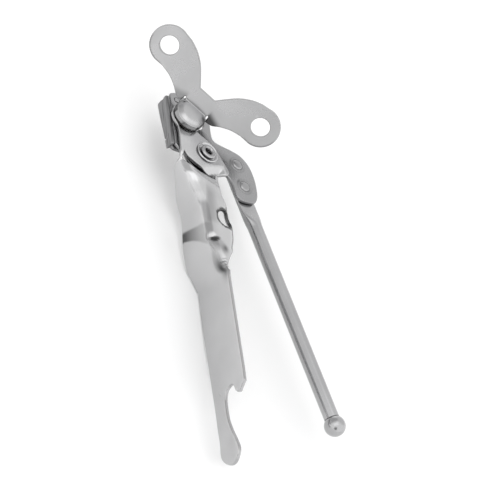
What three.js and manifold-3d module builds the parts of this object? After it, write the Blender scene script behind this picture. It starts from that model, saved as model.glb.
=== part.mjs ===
// A butterfly can opener in plated steel: a folded sheet handle with a cap lifter, a round rod
// handle with a ball end, a wing key that turns a toothed feed wheel, and a cutter on the lever.
// Units are millimetres. Every piece is drawn about the handle pivot, whose rivet stands along Z:
// Z = 0 is the top of the head plate and the handles run towards -Y. The finished group is then
// moved so that its origin is the middle of its own base.
import * as THREE from 'three';
import Module from 'manifold-3d';
import { mergeVertices } from 'three/addons/utils/BufferGeometryUtils.js';

const wasm = await Module();
wasm.setup();

// ---- Driving sizes ----
const SHEET = 1.5;                // thickness of the frame, lever and cutter sheet
const PLATE_GAP = 0.3;            // running gap between stacked plates and washers
const FIT_GAP = 0.08;             // radial gap of a pin in its hole
const FACETS = 32;                // sides of a full circle
const PIN_FACETS = 24;            // sides of a small pin or its hole
const ROD_FACETS = 24;
const OVERCUT = 1;                // how far a cut runs past the metal

const HANDLE_LENGTH = 135.6;      // pivot to the tail of the sheet handle
const WEB_DEPTH = 19.8;           // upright depth of the sheet handle
const WEB_FACE_X = 2.8;           // left face of the upright web
const WEB_START = 57;             // pivot to where the handle has become a plain upright web
const WEB_RISE = 1.3;             // climb of the web from there to the tail
const HANGING_HOLE_R = 4.0;
const HANGING_HOLE_AT = [6.0, -30.8];
const HANGING_HOLE_TILT = { x: -12, y: 20 }; // the hole's axis follows the rounded flange, degrees

const AXLE_AT = [-8.1, 15.1];
const AXLE_R = 2.2;
const EAR_R = 6.8;                // ear of the head plate around the axle
const BUSH_WALL = 0.9;
const WHEEL_R = 5.0;              // over the teeth
const WHEEL_TOOTH = 0.75;         // tooth depth
const WHEEL_TEETH = 22;
const WHEEL_THICKNESS = 3.4;
const WASHER = 0.5;               // thickness of the thin washers
const SQUARE_R = 1.5;             // half width of the square drive end of the axle

const PIVOT_R = 2.4;              // outside of the hollow pivot rivet
const PIVOT_BORE_R = 1.5;
const PIVOT_ROLL_R = 3.3;         // rolled rim of the pivot rivet
const PIVOT_WASHER_R = 4.9;

const KEY_THICKNESS = 2.2;
const KEY_HOLE_R = 3.95;
const KEY_HOLE_SPREAD = 24.6;     // key centre to the hole of each wing
const KEY_HOLE_RISE = 12.1;       // fold line to the holes, up the wing
const KEY_LOBE_R = 8.3;
const KEY_BAR_HALF = 3.8;
const KEY_BAR_RISE = 7.5;
const KEY_TURN = -32.5;           // fold line of the key against +X, degrees
const KEY_LEAN = 66.8;            // wings against the head plate, degrees
const KEY_FOLD_REACH = 4.8;       // axle to the fold line
const KEY_FOLD_HEIGHT = 2.8;      // fold line above the head plate
const KEY_NECK_HALF = 6.0;        // half width of the neck that joins the tab to the wings
const TAB_R = 6.8;
const TAB_RIM = 0.9;
const TAB_CROWN = 2.3;            // height of the domed tab
const AXLE_IN_TAB = 1.0;          // how far the axle reaches into the tab

const ROD_R = 3.0;
const ROD_LENGTH = 93.5;          // lever end of the round stretch to the ball centre
const ROD_START = [22.3, -22.4];  // where the round rod leaves the palm
const ROD_TURN = 16.7;            // rod against -Y, degrees
const ROD_FLARE = 4.6;            // half length of the change from flattened tang to round rod
const TANG_LENGTH = 27;           // tang's end to the middle of that change
const TANG_THICKNESS = 1.8;
const TANG_WIDTH = 8.4;
const BALL_R = 4.2;
const ROD_SEAT = 1.1;             // how far the rod reaches into the ball
const RIVET_SHANK_R = 1.5;
const RIVET_HEAD_R = 2.3;
const RIVET_HEAD = 0.8;
const ROD_RIVETS = { upper: [16.4, 1.4], lower: [18.7, -9.0] };

const LEVER_LEFT_X = -14.0;       // left edge of the lever plate, where the cutter sits
const PIVOT_LOBE_R = 10.2;        // edge of the lever plate round the pivot, under the slot
const CUTTER_DEPTH = 7.0;         // depth of the cutter wall at its rear end
const CUTTER_FRONT_DEPTH = 4.6;
const CUTTER_SPAN = [0.8, 26.0];  // start and end of the cutter along Y
const CUTTER_BEVEL = 1.4;         // height of the ground cutting bevel
const CUTTER_EDGE = 0.4;          // broken edges of the cutter wall
const CUTTER_FOOT_REACH = 2.2;    // how far a foot runs past its rivet
const CUTTER_RIVET_R = 1.1;
const CUTTER_RIVETS = { front: [-10.0, 4.6], rear: [-10.6, 25.0] };
const SWING = [-3, 20];           // lowest and highest angle of the lever about the pivot, degrees

// Heights of the stack, from the head plate down.
const LEVER_TOP = -SHEET - PLATE_GAP;
const LEVER_BOTTOM = LEVER_TOP - SHEET;
const TANG_TOP = LEVER_BOTTOM - PLATE_GAP;
const TANG_BOTTOM = TANG_TOP - TANG_THICKNESS;
const COLLAR_R = AXLE_R + FIT_GAP + BUSH_WALL;
const THRUST_TOP = LEVER_BOTTOM - PLATE_GAP;
const WHEEL_TOP = THRUST_TOP - WASHER - PLATE_GAP / 3;
const WHEEL_BOTTOM = WHEEL_TOP - WHEEL_THICKNESS;
const AXLE_HEAD_TOP = WHEEL_BOTTOM - WASHER - 2 * PLATE_GAP / 3;
const TAB_BOTTOM = WASHER + 2 * PLATE_GAP;

// ---- Finishes ----
const plated = { color: 0xb9bbbe, metalness: 1, roughness: 0.22 };
const FINISH = {
  frame: { ...plated, color: 0xbfc1c4 },
  lever: { ...plated, color: 0xa9abae },
  key: { ...plated, color: 0xc2c4c7 },
  ground: { color: 0x8d8f92, metalness: 1, roughness: 0.45 },
  hardened: { color: 0x7d8083, metalness: 1, roughness: 0.4 },
};

// ---- Solids ----
const radians = THREE.MathUtils.degToRad;

/** Turn a closed geometry into a solid that can be joined and cut. */
function solid(geometry) {
  const bare = geometry.index ? geometry.toNonIndexed() : geometry;
  bare.deleteAttribute('normal');
  bare.deleteAttribute('uv');
  const merged = mergeVertices(bare, 1e-4);
  const corners = merged.index.array;
  const kept = [];
  for (let i = 0; i < corners.length; i += 3) {
    const [a, b, c] = [corners[i], corners[i + 1], corners[i + 2]];
    if (a !== b && b !== c && c !== a) kept.push(a, b, c);
  }
  const vertProperties = new Float32Array(merged.attributes.position.array);
  const triVerts = new Uint32Array(kept);
  return new wasm.Manifold(new wasm.Mesh({ numProp: 3, vertProperties, triVerts }));
}

/** Turn a solid back into a geometry with flat facets. */
function geometryOf(body) {
  const mesh = body.getMesh();
  const geometry = new THREE.BufferGeometry();
  const stride = mesh.numProp;
  const count = mesh.vertProperties.length / stride;
  const position = new Float32Array(count * 3);
  for (let i = 0; i < count; i += 1) {
    for (let k = 0; k < 3; k += 1) position[3 * i + k] = mesh.vertProperties[stride * i + k];
  }
  geometry.setAttribute('position', new THREE.BufferAttribute(position, 3));
  geometry.setIndex(new THREE.BufferAttribute(new Uint32Array(mesh.triVerts), 1));
  return geometry;
}

/** A flat plate: an outline in X and Y, standing from bottom to top. */
function plate(shape, bottom, top) {
  const geometry = new THREE.ExtrudeGeometry(shape, {
    depth: top - bottom, bevelEnabled: false, curveSegments: 10, steps: 1,
  });
  return solid(geometry.translate(0, 0, bottom));
}

/** A solid of revolution about the upright line through at, from [radius, height] pairs. */
function turned(profile, at, sides = FACETS) {
  const points = profile.map(([r, z]) => new THREE.Vector2(r, z));
  const geometry = new THREE.LatheGeometry(points, sides);
  return solid(geometry.rotateX(Math.PI / 2).translate(at[0], at[1], 0));
}

/** An upright round bar. */
function bar(radius, bottom, top, at, sides = FACETS) {
  return turned([[0, bottom], [radius, bottom], [radius, top], [0, top]], at, sides);
}

/** An upright ring with square edges. */
function ring(inner, outer, bottom, top, at) {
  const profile = [[inner, bottom], [outer, bottom], [outer, top], [inner, top], [inner, bottom]];
  return turned(profile, at);
}

/** A closed outline from corner points. */
function outline(points) {
  return new THREE.Shape(points.map(([x, y]) => new THREE.Vector2(x, y)));
}

/** Points of an arc about centre, angles in degrees. */
function arc(centre, radius, from, to, count) {
  const points = [];
  for (let i = 0; i <= count; i += 1) {
    const angle = radians(from + ((to - from) * i) / count);
    points.push([centre[0] + radius * Math.cos(angle), centre[1] + radius * Math.sin(angle)]);
  }
  return points;
}

/** A closed skin over rings of points that all have the same count, capped at both ends. */
function loft(rings) {
  const size = rings[0].length;
  const position = rings.flat().flatMap((p) => [p.x, p.y, p.z]);
  const index = [];
  for (let i = 0; i + 1 < rings.length; i += 1) {
    for (let j = 0; j < size; j += 1) {
      const a = i * size + j;
      const b = i * size + ((j + 1) % size);
      index.push(a, b, a + size, b, b + size, a + size);
    }
  }
  const half = size / 2;
  const last = (rings.length - 1) * size;
  for (let j = 0; j + 1 < half; j += 1) {
    const [a, b, c, d] = [j, j + 1, size - 2 - j, size - 1 - j];
    index.push(a, c, b, a, d, c);
    index.push(last + a, last + b, last + c, last + a, last + c, last + d);
  }
  const geometry = new THREE.BufferGeometry();
  geometry.setAttribute('position', new THREE.BufferAttribute(new Float32Array(position), 3));
  geometry.setIndex(index);
  return solid(geometry);
}

const clamp01 = (t) => Math.min(1, Math.max(0, t));
const smooth = (t) => clamp01(t) ** 2 * (3 - 2 * clamp01(t));

// ---- Frame: head plate and sheet handle, pressed from one sheet ----

const WEB_LEAD = 2.2;             // how far past its bend the plain web starts
const UNTRIMMED_LENGTH = HANDLE_LENGTH + 4;
const TRIM_REACH = 40;            // half width of the tool that trims the side outline

// Stations down the sheet handle: distance from the pivot, rolled right lip, flange, upright web
// (all as lengths round the bent sheet) and the web's left face. The flange fades out below the
// knuckle, where the sheet has turned into an upright web.
const HANDLE_STATIONS = [
  { y: -6.5, lip: 0, flange: 15.4, web: 4.4, face: -12.6 },
  { y: -9, lip: 0, flange: 15.4, web: 5.6, face: -12.2 },
  { y: -14, lip: 0, flange: 12.6, web: 8.6, face: -10.2 },
  { y: -20, lip: 0.4, flange: 10.8, web: 12.2, face: -7.6 },
  { y: -26, lip: 2.4, flange: 10.4, web: 13.6, face: -5.2 },
  { y: -32, lip: 3.2, flange: 11.6, web: 14.8, face: -4.6 },
  { y: -38, lip: 3.2, flange: 11.2, web: 15.8, face: -4.3 },
  { y: -44, lip: 2.0, flange: 8.2, web: 17.2, face: -3.0 },
  { y: -50, lip: 0.3, flange: 3.2, web: 19.0, face: 0.0 },
  { y: -54, lip: 0, flange: 0.2, web: 19.8, face: 1.9 },
  { y: -WEB_START, lip: 0, flange: -WEB_LEAD, web: WEB_DEPTH + WEB_LEAD, face: WEB_FACE_X },
  { y: -UNTRIMMED_LENGTH, lip: 0, flange: -WEB_LEAD, web: WEB_DEPTH + WEB_LEAD, face: WEB_FACE_X },
];
const WEB_BEND = 5.0;             // length of the bend between flange and web
const LIP_BEND = 8.0;             // length of the bend between lip and flange
const LIP_TURN = 78;              // how far the lip turns down at the knuckle, degrees
const LIP_FULL = 3.0;             // lip length at which it is fully turned
const SECTION_STEPS = 22;
const SLOT_CUT_DEPTH = 2.5 * SHEET; // deep enough to clear the start of the bent web

/** The station at any distance, blended smoothly between its neighbours. */
function stationAt(y) {
  let k = 0;
  while (k + 2 < HANDLE_STATIONS.length && y < HANDLE_STATIONS[k + 1].y) k += 1;
  const before = HANDLE_STATIONS[Math.max(k - 1, 0)];
  const from = HANDLE_STATIONS[k];
  const to = HANDLE_STATIONS[k + 1];
  const after = HANDLE_STATIONS[Math.min(k + 2, HANDLE_STATIONS.length - 1)];
  const t = (y - from.y) / (to.y - from.y);
  const blend = {};
  for (const name of ['lip', 'flange', 'web', 'face']) {
    const span = to.y - from.y;
    const slopeIn = limitedSlope(before, from, to, name) * span;
    const slopeOut = limitedSlope(from, to, after, name) * span;
    const [p, q] = [from[name], to[name]];
    blend[name] = (2 * t ** 3 - 3 * t ** 2 + 1) * p + (t ** 3 - 2 * t ** 2 + t) * slopeIn
      + (3 * t ** 2 - 2 * t ** 3) * q + (t ** 3 - t ** 2) * slopeOut;
  }
  return blend;
}

/** A slope through the middle station that never makes the blend overshoot. */
function limitedSlope(a, b, c, name) {
  const left = b.y === a.y ? 0 : (b[name] - a[name]) / (b.y - a.y);
  const right = c.y === b.y ? 0 : (c[name] - b[name]) / (c.y - b.y);
  if (left * right <= 0) return 0;
  return (2 * left * right) / (left + right);
}

/** The closed section of the bent sheet at one distance from the pivot. */
function handleSection(y) {
  const { lip, flange, web, face } = stationAt(y);
  const total = lip + flange + web;
  const lipTurn = LIP_TURN * smooth(lip / LIP_FULL);
  const middle = [];
  let [x, z] = [0, 0];
  const step = total / SECTION_STEPS;
  for (let i = 0; i <= SECTION_STEPS; i += 1) {
    const s = i * step;
    const webTurn = 90 * smooth((s - (lip + flange - WEB_BEND / 2)) / WEB_BEND);
    const leftToTurn = lipTurn * (1 - smooth((s - (lip - LIP_BEND / 2)) / LIP_BEND));
    const heading = radians(180 + webTurn - leftToTurn);
    middle.push({ x, z, heading });
    x += Math.cos(heading) * step;
    z += Math.sin(heading) * step;
  }
  const side = (sign) => middle.map((m) => ({
    x: m.x + (sign * Math.sin(m.heading) * SHEET) / 2,
    z: m.z - (sign * Math.cos(m.heading) * SHEET) / 2,
  }));
  const outer = side(1);
  const shiftX = face - Math.min(...outer.map((p) => p.x));
  const climb = (WEB_RISE * Math.max(0, -y - WEB_START)) / (HANDLE_LENGTH - WEB_START);
  const shiftZ = climb - Math.max(...outer.map((p) => p.z));
  const around = [...outer, ...side(-1).reverse()];
  return around.map((p) => new THREE.Vector3(p.x + shiftX, y, p.z + shiftZ));
}

/** Side outline of the sheet handle in Y and Z: tapering web, cap lifter and rounded tail. */
function handleOutline() {
  const tail = -HANDLE_LENGTH;
  const floor = -WEB_DEPTH;
  const above = 3;
  const curve = (points) => new THREE.SplineCurve(
    points.map(([y, z]) => new THREE.Vector2(tail + y, floor + z)),
  );
  const spoon = curve([
    [24, 2.0], [12, 2.0], [5.8, 1.8], [2.4, 3.4], [0.3, 6.4], [0.2, 9.6], [1.8, 12.2], [4.4, 13.1],
    [8.0, 12.1], [13.2, 9.9], [20.0, 8.7], [26.7, 8.6],
  ]);
  const notch = curve([[26.7, 8.6], [29.4, 9.6], [30.7, 11.7], [30.5, 13.8], [28.6, 14.9]]);
  const lifter = [
    [27.0, 15.3], [26.1, 16.1], [25.5, 17.5], [28.6, WEB_DEPTH + WEB_RISE],
    [28.6, WEB_DEPTH + above],
  ];
  return outline([
    [0, above], [0, floor - OVERCUT], [-WEB_START, floor - 0.2], [-80, floor + 0.5],
    ...spoon.getPoints(40).map((p) => [p.x, p.y]),
    ...notch.getPoints(12).slice(1).map((p) => [p.x, p.y]),
    ...lifter.map(([y, z]) => [tail + y, floor + z]),
  ]);
}

/** The head plate: a long tip towards the palm and a round ear around the axle. */
function headOutline() {
  const ear = arc(AXLE_AT, EAR_R, -50, 205, 22);
  return outline([
    [-12.2, -8.4], [-8.0, -12.0], [4.0, -14.0], [4.3, -9.0], [5.0, -8.3], [9.2, -8.1],
    [10.2, -6.8], [9.9, -5.0], [8.2, -1.8],
    [5.8, 2.2], [3.4, 5.2], [0.9, 7.1], [-1.3, 8.3],
    ...ear,
    [-12.9, 9.6], [-12.6, 6.5], [-12.8, 0.6], [-12.9, -3.0], [-12.8, -6.0],
  ]);
}

/** The curved slot between the head plate and the sheet handle. */
function slotOutline() {
  const curve = (points) => new THREE.SplineCurve(points.map(([x, y]) => new THREE.Vector2(x, y)));
  const upper = curve([[-11.2, -2.8], [-9.2, -5.2], [-5.4, -7.6], [-1.2, -9.2], [3.0, -10.1]]);
  const lower = curve([[2.4, -12.5], [-2.2, -11.8], [-6.8, -10.1], [-10.4, -7.2], [-11.7, -4.6]]);
  return outline([...upper.getPoints(9), ...lower.getPoints(9)].map((p) => [p.x, p.y]));
}

function frameHandle() {
  const stations = [];
  for (let { y } = HANDLE_STATIONS[0]; y > -WEB_START; y -= 2) stations.push(y);
  stations.push(-WEB_START, -UNTRIMMED_LENGTH);
  const silhouette = new THREE.ExtrudeGeometry(handleOutline(), {
    depth: 2 * TRIM_REACH, bevelEnabled: false, steps: 1,
  });
  // The outline is drawn in Y and Z: turn it so that its depth runs along X.
  silhouette.applyMatrix4(new THREE.Matrix4().set(
    0, 0, 1, -TRIM_REACH,
    1, 0, 0, 0,
    0, 1, 0, 0,
    0, 0, 0, 1,
  ));
  const handle = loft(stations.map(handleSection)).intersect(solid(silhouette));
  const hole = solid(new THREE.CylinderGeometry(HANGING_HOLE_R, HANGING_HOLE_R, 6 * SHEET, FACETS)
    .rotateX(Math.PI / 2)
    .rotateY(radians(HANGING_HOLE_TILT.y))
    .rotateX(radians(HANGING_HOLE_TILT.x))
    .translate(...HANGING_HOLE_AT, -SHEET));
  return plate(headOutline(), -SHEET, 0)
    .add(handle)
    .subtract(plate(slotOutline(), -SLOT_CUT_DEPTH, OVERCUT))
    .subtract(hole)
    .subtract(bar(PIVOT_R + FIT_GAP, -SHEET - OVERCUT, OVERCUT, [0, 0]))
    .subtract(bar(COLLAR_R + FIT_GAP, -SHEET - OVERCUT, OVERCUT, AXLE_AT));
}

// ---- Pivot ----

function pivotEyelet() {
  const top = WASHER + PLATE_GAP;
  const tail = LEVER_BOTTOM - WASHER - 2 * PLATE_GAP;
  const roll = [PIVOT_R, PIVOT_R + 0.5, PIVOT_ROLL_R, PIVOT_ROLL_R, PIVOT_R + 0.5, PIVOT_BORE_R + 0.3];
  const rise = [top, top, top + 0.25, top + 0.6, top + 0.95, top + 0.85];
  return turned([
    [PIVOT_BORE_R, tail - 0.8], [PIVOT_ROLL_R - 0.2, tail - 0.8], [PIVOT_ROLL_R + 0.2, tail - 0.4],
    [PIVOT_ROLL_R, tail], [PIVOT_R, tail],
    ...roll.map((r, i) => [r, rise[i]]),
    [PIVOT_BORE_R, top + 0.4], [PIVOT_BORE_R, tail - 0.8],
  ], [0, 0]);
}

const pivotTopWasher = () => ring(PIVOT_R + FIT_GAP, PIVOT_WASHER_R, PLATE_GAP / 2,
  WASHER + PLATE_GAP / 2, [0, 0]);

const pivotBackWasher = () => ring(PIVOT_R + FIT_GAP, PIVOT_WASHER_R,
  LEVER_BOTTOM - PLATE_GAP - WASHER, LEVER_BOTTOM - PLATE_GAP, [0, 0]);

// ---- Key, axle and wheel ----

/** The wing outline: u along the fold, w up the wing, alike on both sides of the middle. */
function wingOutline() {
  const hole = [KEY_HOLE_SPREAD, KEY_HOLE_RISE];
  const upper = new THREE.SplineCurve([
    [KEY_BAR_HALF, KEY_BAR_RISE], [7.0, 11.3], [10.4, 14.9], [14.8, 17.9], [19.2, 19.6],
  ].map(([u, w]) => new THREE.Vector2(u, w))).getPoints(8).map((p) => [p.x, p.y]);
  const lobe = arc(hole, KEY_LOBE_R, 106, -84, 18);
  const lower = new THREE.SplineCurve([
    [21.0, 3.9], [16.6, 2.9], [12.6, 1.0], [9.4, -1.1], [6.2, -1.8],
  ].map(([u, w]) => new THREE.Vector2(u, w))).getPoints(8).map((p) => [p.x, p.y]);
  const right = [...upper, ...lobe, ...lower];
  const left = right.map(([u, w]) => [-u, w]).reverse();
  const shape = outline([...right, ...left].reverse());
  for (const side of [-1, 1]) {
    const eye = new THREE.Path();
    eye.absarc(side * hole[0], hole[1], KEY_HOLE_R, 0, 2 * Math.PI, true);
    shape.holes.push(eye);
  }
  return shape;
}

/** Directions of the key: along the fold, away from the palm, and up the leaning wing. */
function keyAxes() {
  const along = new THREE.Vector3(Math.cos(radians(KEY_TURN)), Math.sin(radians(KEY_TURN)), 0);
  const back = new THREE.Vector3(-along.y, along.x, 0);
  const up = back.clone().multiplyScalar(Math.cos(radians(KEY_LEAN)));
  up.z = Math.sin(radians(KEY_LEAN));
  return { along, back, up, front: new THREE.Vector3().crossVectors(along, up) };
}

function wingKey() {
  const { along, back, up, front } = keyAxes();
  const axle = new THREE.Vector3(AXLE_AT[0], AXLE_AT[1], 0);
  const fold = axle.clone().addScaledVector(back, KEY_FOLD_REACH);
  fold.z = KEY_FOLD_HEIGHT;
  const wings = new THREE.ExtrudeGeometry(wingOutline(), {
    depth: KEY_THICKNESS, bevelEnabled: false, curveSegments: 14, steps: 1,
  }).translate(0, 0, -KEY_THICKNESS);
  wings.applyMatrix4(new THREE.Matrix4().makeBasis(along, up, front).setPosition(fold));
  const dome = [
    [0, TAB_BOTTOM], [TAB_R, TAB_BOTTOM], [TAB_R, TAB_BOTTOM + TAB_RIM],
    [TAB_R - 0.9, TAB_BOTTOM + 1.5], [TAB_R - 2.6, TAB_BOTTOM + 2.0],
    [0, TAB_BOTTOM + TAB_CROWN],
  ];
  // The neck joins the round tab to the wings across the fold.
  const neckReach = KEY_FOLD_REACH + 1.2;
  const neckRise = 2.0;
  const neck = new THREE.BoxGeometry(2 * KEY_NECK_HALF, neckReach, neckRise)
    .translate(0, neckReach / 2, TAB_BOTTOM + neckRise / 2);
  neck.applyMatrix4(new THREE.Matrix4().makeBasis(along, back, new THREE.Vector3(0, 0, 1))
    .setPosition(axle));
  return solid(wings).add(turned(dome, AXLE_AT)).add(solid(neck))
    .subtract(bar(AXLE_R + FIT_GAP, -OVERCUT, TAB_BOTTOM + AXLE_IN_TAB + 0.2, AXLE_AT));
}

function driveAxle() {
  const top = TAB_BOTTOM + AXLE_IN_TAB;
  const shoulder = WHEEL_TOP + PLATE_GAP / 3;
  const round = bar(AXLE_R, shoulder, top, AXLE_AT);
  const head = turned([
    [0, AXLE_HEAD_TOP - 1.2], [1.9, AXLE_HEAD_TOP - 1.2], [2.8, AXLE_HEAD_TOP - 0.7],
    [3.0, AXLE_HEAD_TOP], [0, AXLE_HEAD_TOP],
  ], AXLE_AT);
  const overlap = 0.2;
  const squareLength = shoulder - AXLE_HEAD_TOP + 2 * overlap;
  const square = new THREE.BoxGeometry(2 * SQUARE_R, 2 * SQUARE_R, squareLength)
    .translate(AXLE_AT[0], AXLE_AT[1], (shoulder + AXLE_HEAD_TOP) / 2);
  return round.add(solid(square)).add(head);
}

/** A square hole for the drive end of the axle. */
function squareBore(bottom, top) {
  const side = 2 * (SQUARE_R + FIT_GAP);
  const box = new THREE.BoxGeometry(side, side, top - bottom);
  return solid(box.translate(AXLE_AT[0], AXLE_AT[1], (bottom + top) / 2));
}

function feedWheel() {
  const teeth = [];
  for (let i = 0; i < WHEEL_TEETH; i += 1) {
    const pitch = 360 / WHEEL_TEETH;
    teeth.push(...arc(AXLE_AT, WHEEL_R - WHEEL_TOOTH, i * pitch, (i + 0.25) * pitch, 1));
    teeth.push(...arc(AXLE_AT, WHEEL_R, (i + 0.5) * pitch, (i + 0.75) * pitch, 1));
  }
  const hub = WHEEL_R - 2 * WHEEL_TOOTH;
  const hubRise = 1.2;
  const overlap = 0.1;
  return plate(outline(teeth), WHEEL_BOTTOM + hubRise, WHEEL_TOP)
    .add(bar(hub, WHEEL_BOTTOM, WHEEL_BOTTOM + hubRise + overlap, AXLE_AT))
    .subtract(squareBore(WHEEL_BOTTOM - OVERCUT, WHEEL_TOP + OVERCUT));
}

function wheelWasher() {
  const top = WHEEL_BOTTOM - PLATE_GAP / 3;
  return bar(WHEEL_R - WHEEL_TOOTH - 0.6, top - WASHER, top, AXLE_AT)
    .subtract(squareBore(top - WASHER - OVERCUT, top + OVERCUT));
}

const thrustWasher = () => ring(AXLE_R + FIT_GAP, COLLAR_R + 1.3, THRUST_TOP - WASHER, THRUST_TOP,
  AXLE_AT);

const spacerCollar = () => ring(AXLE_R + FIT_GAP, COLLAR_R, THRUST_TOP + PLATE_GAP / 3,
  -SHEET - PLATE_GAP / 2, AXLE_AT);

const axleBush = () => ring(AXLE_R + FIT_GAP, COLLAR_R, -SHEET, 0, AXLE_AT);

/** A dished spring washer that keeps the key tight on the head plate. */
function springWasher() {
  const [inner, outer] = [AXLE_R + FIT_GAP, EAR_R - 1.4];
  const base = PLATE_GAP / 2;
  return turned([
    [inner, base + 0.3], [outer, base], [outer, base + WASHER - 0.2], [inner, base + WASHER],
    [inner, base + 0.3],
  ], AXLE_AT);
}

// ---- Lever: plate, cutter and rod handle ----

/** The palm: the long curved lobe that holds the rod handle. */
function leverOutline() {
  const palm = new THREE.SplineCurve([
    [5.0, 17.6], [5.1, 12.0], [6.4, 9.6], [10.4, 8.8], [15.2, 8.1], [19.2, 6.7], [22.6, 3.2],
    [24.6, -2.4], [25.2, -8.4], [24.8, -12.6], [23.2, -15.6], [20.0, -16.6], [15.8, -16.6],
    [13.8, -14.4], [12.6, -9.4], [10.8, -6.6], [7.8, -6.4],
  ].map(([x, y]) => new THREE.Vector2(x, y))).getPoints(48).map((p) => [p.x, p.y]);
  const pivotSide = arc([0, 0], PIVOT_LOBE_R, -72, -164, 12);
  return outline([
    ...palm.slice(0, -1), ...pivotSide,
    [LEVER_LEFT_X, CUTTER_SPAN[0] + 0.2], [LEVER_LEFT_X, CUTTER_SPAN[1] + 0.4],
    [-13.4, 27.8], [-11.4, 28.8], [-8.6, 28.8], [-4.6, 27.4], [1.0, 23.4], [4.0, 20.2],
  ]);
}

/** The arc that the axle sweeps through the lever plate as the lever swings. */
function axleSweep() {
  const radius = Math.hypot(...AXLE_AT);
  const rest = THREE.MathUtils.radToDeg(Math.atan2(AXLE_AT[1], AXLE_AT[0]));
  const wide = COLLAR_R + 2 * PLATE_GAP;
  const [first, last] = [rest - SWING[1] - 1, rest - SWING[0] + 1];
  const firstEnd = arc([0, 0], radius, first, first, 1)[0];
  const lastEnd = arc([0, 0], radius, last, last, 1)[0];
  return outline([
    ...arc([0, 0], radius + wide, first, last, 6),
    ...arc(lastEnd, wide, last, last + 180, 12).slice(1, -1),
    ...arc([0, 0], radius - wide, last, first, 6),
    ...arc(firstEnd, wide, first + 180, first + 360, 12).slice(1, -1),
  ]);
}

function leverPlate() {
  const [low, high] = [LEVER_BOTTOM - OVERCUT, LEVER_TOP + OVERCUT];
  let body = plate(leverOutline(), LEVER_BOTTOM, LEVER_TOP)
    .subtract(plate(axleSweep(), low, high))
    .subtract(bar(PIVOT_R + FIT_GAP, low, high, [0, 0]));
  for (const at of Object.values(ROD_RIVETS)) {
    body = body.subtract(bar(RIVET_SHANK_R + FIT_GAP, low, high, at, PIN_FACETS));
  }
  for (const at of Object.values(CUTTER_RIVETS)) {
    body = body.subtract(bar(CUTTER_RIVET_R + FIT_GAP, low, high, at, PIN_FACETS));
  }
  return body;
}

/** The cutter: an upright wall beside the wheel, ground along its lower edge, and two feet. */
function cutterBlade() {
  const inner = LEVER_LEFT_X - PLATE_GAP / 3;
  const outer = inner - SHEET;
  const top = LEVER_TOP - PLATE_GAP / 3;
  const footTop = LEVER_BOTTOM - PLATE_GAP / 3;
  const [front, rear] = CUTTER_SPAN;
  const wallRing = (y) => {
    const share = smooth((y - front) / (rear - front));
    const bottom = top - CUTTER_FRONT_DEPTH - (CUTTER_DEPTH - CUTTER_FRONT_DEPTH) * share;
    return [
      [outer, top - CUTTER_EDGE], [outer + CUTTER_EDGE, top], [inner, top],
      [inner, bottom + CUTTER_BEVEL], [outer + CUTTER_EDGE, bottom], [outer, bottom + CUTTER_EDGE],
    ].map(([x, z]) => new THREE.Vector3(x, y, z));
  };
  const steps = 6;
  const rings = [];
  for (let i = 0; i <= steps; i += 1) rings.push(wallRing(front + ((rear - front) * i) / steps));
  let body = loft(rings);
  const past = CUTTER_FOOT_REACH;
  const feet = [
    [front - past, CUTTER_RIVETS.front[0] + past, CUTTER_RIVETS.front[1] + past],
    [CUTTER_RIVETS.rear[1] - past, CUTTER_RIVETS.rear[0] + past, rear + 1],
  ];
  for (const [start, reach, end] of feet) {
    const left = outer + CUTTER_EDGE;
    const shape = outline([
      [left, start + 1], [left + 1, start], [reach - 1, start], [reach, start + 1],
      [reach, end - 1], [reach - 1, end], [left + 1, end], [left, end - 1],
    ]);
    body = body.add(plate(shape, footTop - SHEET, footTop));
  }
  for (const at of Object.values(CUTTER_RIVETS)) {
    const [low, high] = [footTop - SHEET - OVERCUT, footTop + OVERCUT];
    body = body.subtract(bar(CUTTER_RIVET_R + FIT_GAP, low, high, at, PIN_FACETS));
  }
  return body;
}

/** A rivet with a low domed head at each end. */
function rivet(shank, head, top, bottom, at, headHeight, flush = false) {
  const upper = flush
    ? [[shank, top], [0, top]]
    : [[shank, top], [head, top], [head - 0.25, top + 0.5 * headHeight],
      [0.55 * head, top + 0.92 * headHeight], [0, top + headHeight]];
  return turned([
    [0, bottom - headHeight], [0.55 * head, bottom - 0.92 * headHeight],
    [head - 0.25, bottom - 0.5 * headHeight], [head, bottom], [shank, bottom],
    ...upper,
  ], at, PIN_FACETS);
}

const rodRivet = (at) => rivet(RIVET_SHANK_R, RIVET_HEAD_R, LEVER_TOP + PLATE_GAP / 3,
  TANG_BOTTOM - PLATE_GAP / 3, at, RIVET_HEAD);

const cutterRivet = (at) => rivet(CUTTER_RIVET_R, CUTTER_RIVET_R + 0.7, LEVER_TOP,
  LEVER_BOTTOM - 2 * PLATE_GAP / 3 - SHEET, at, 0.6, true);

/** Place and direction of the rod: its axis lies level, halfway through the tang. */
function rodFrame() {
  const turn = radians(ROD_TURN);
  const along = new THREE.Vector3(Math.sin(turn), -Math.cos(turn), 0);
  const across = new THREE.Vector3(Math.cos(turn), Math.sin(turn), 0);
  const start = new THREE.Vector3(...ROD_START, (TANG_TOP + TANG_BOTTOM) / 2);
  return { along, across, start };
}

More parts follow.
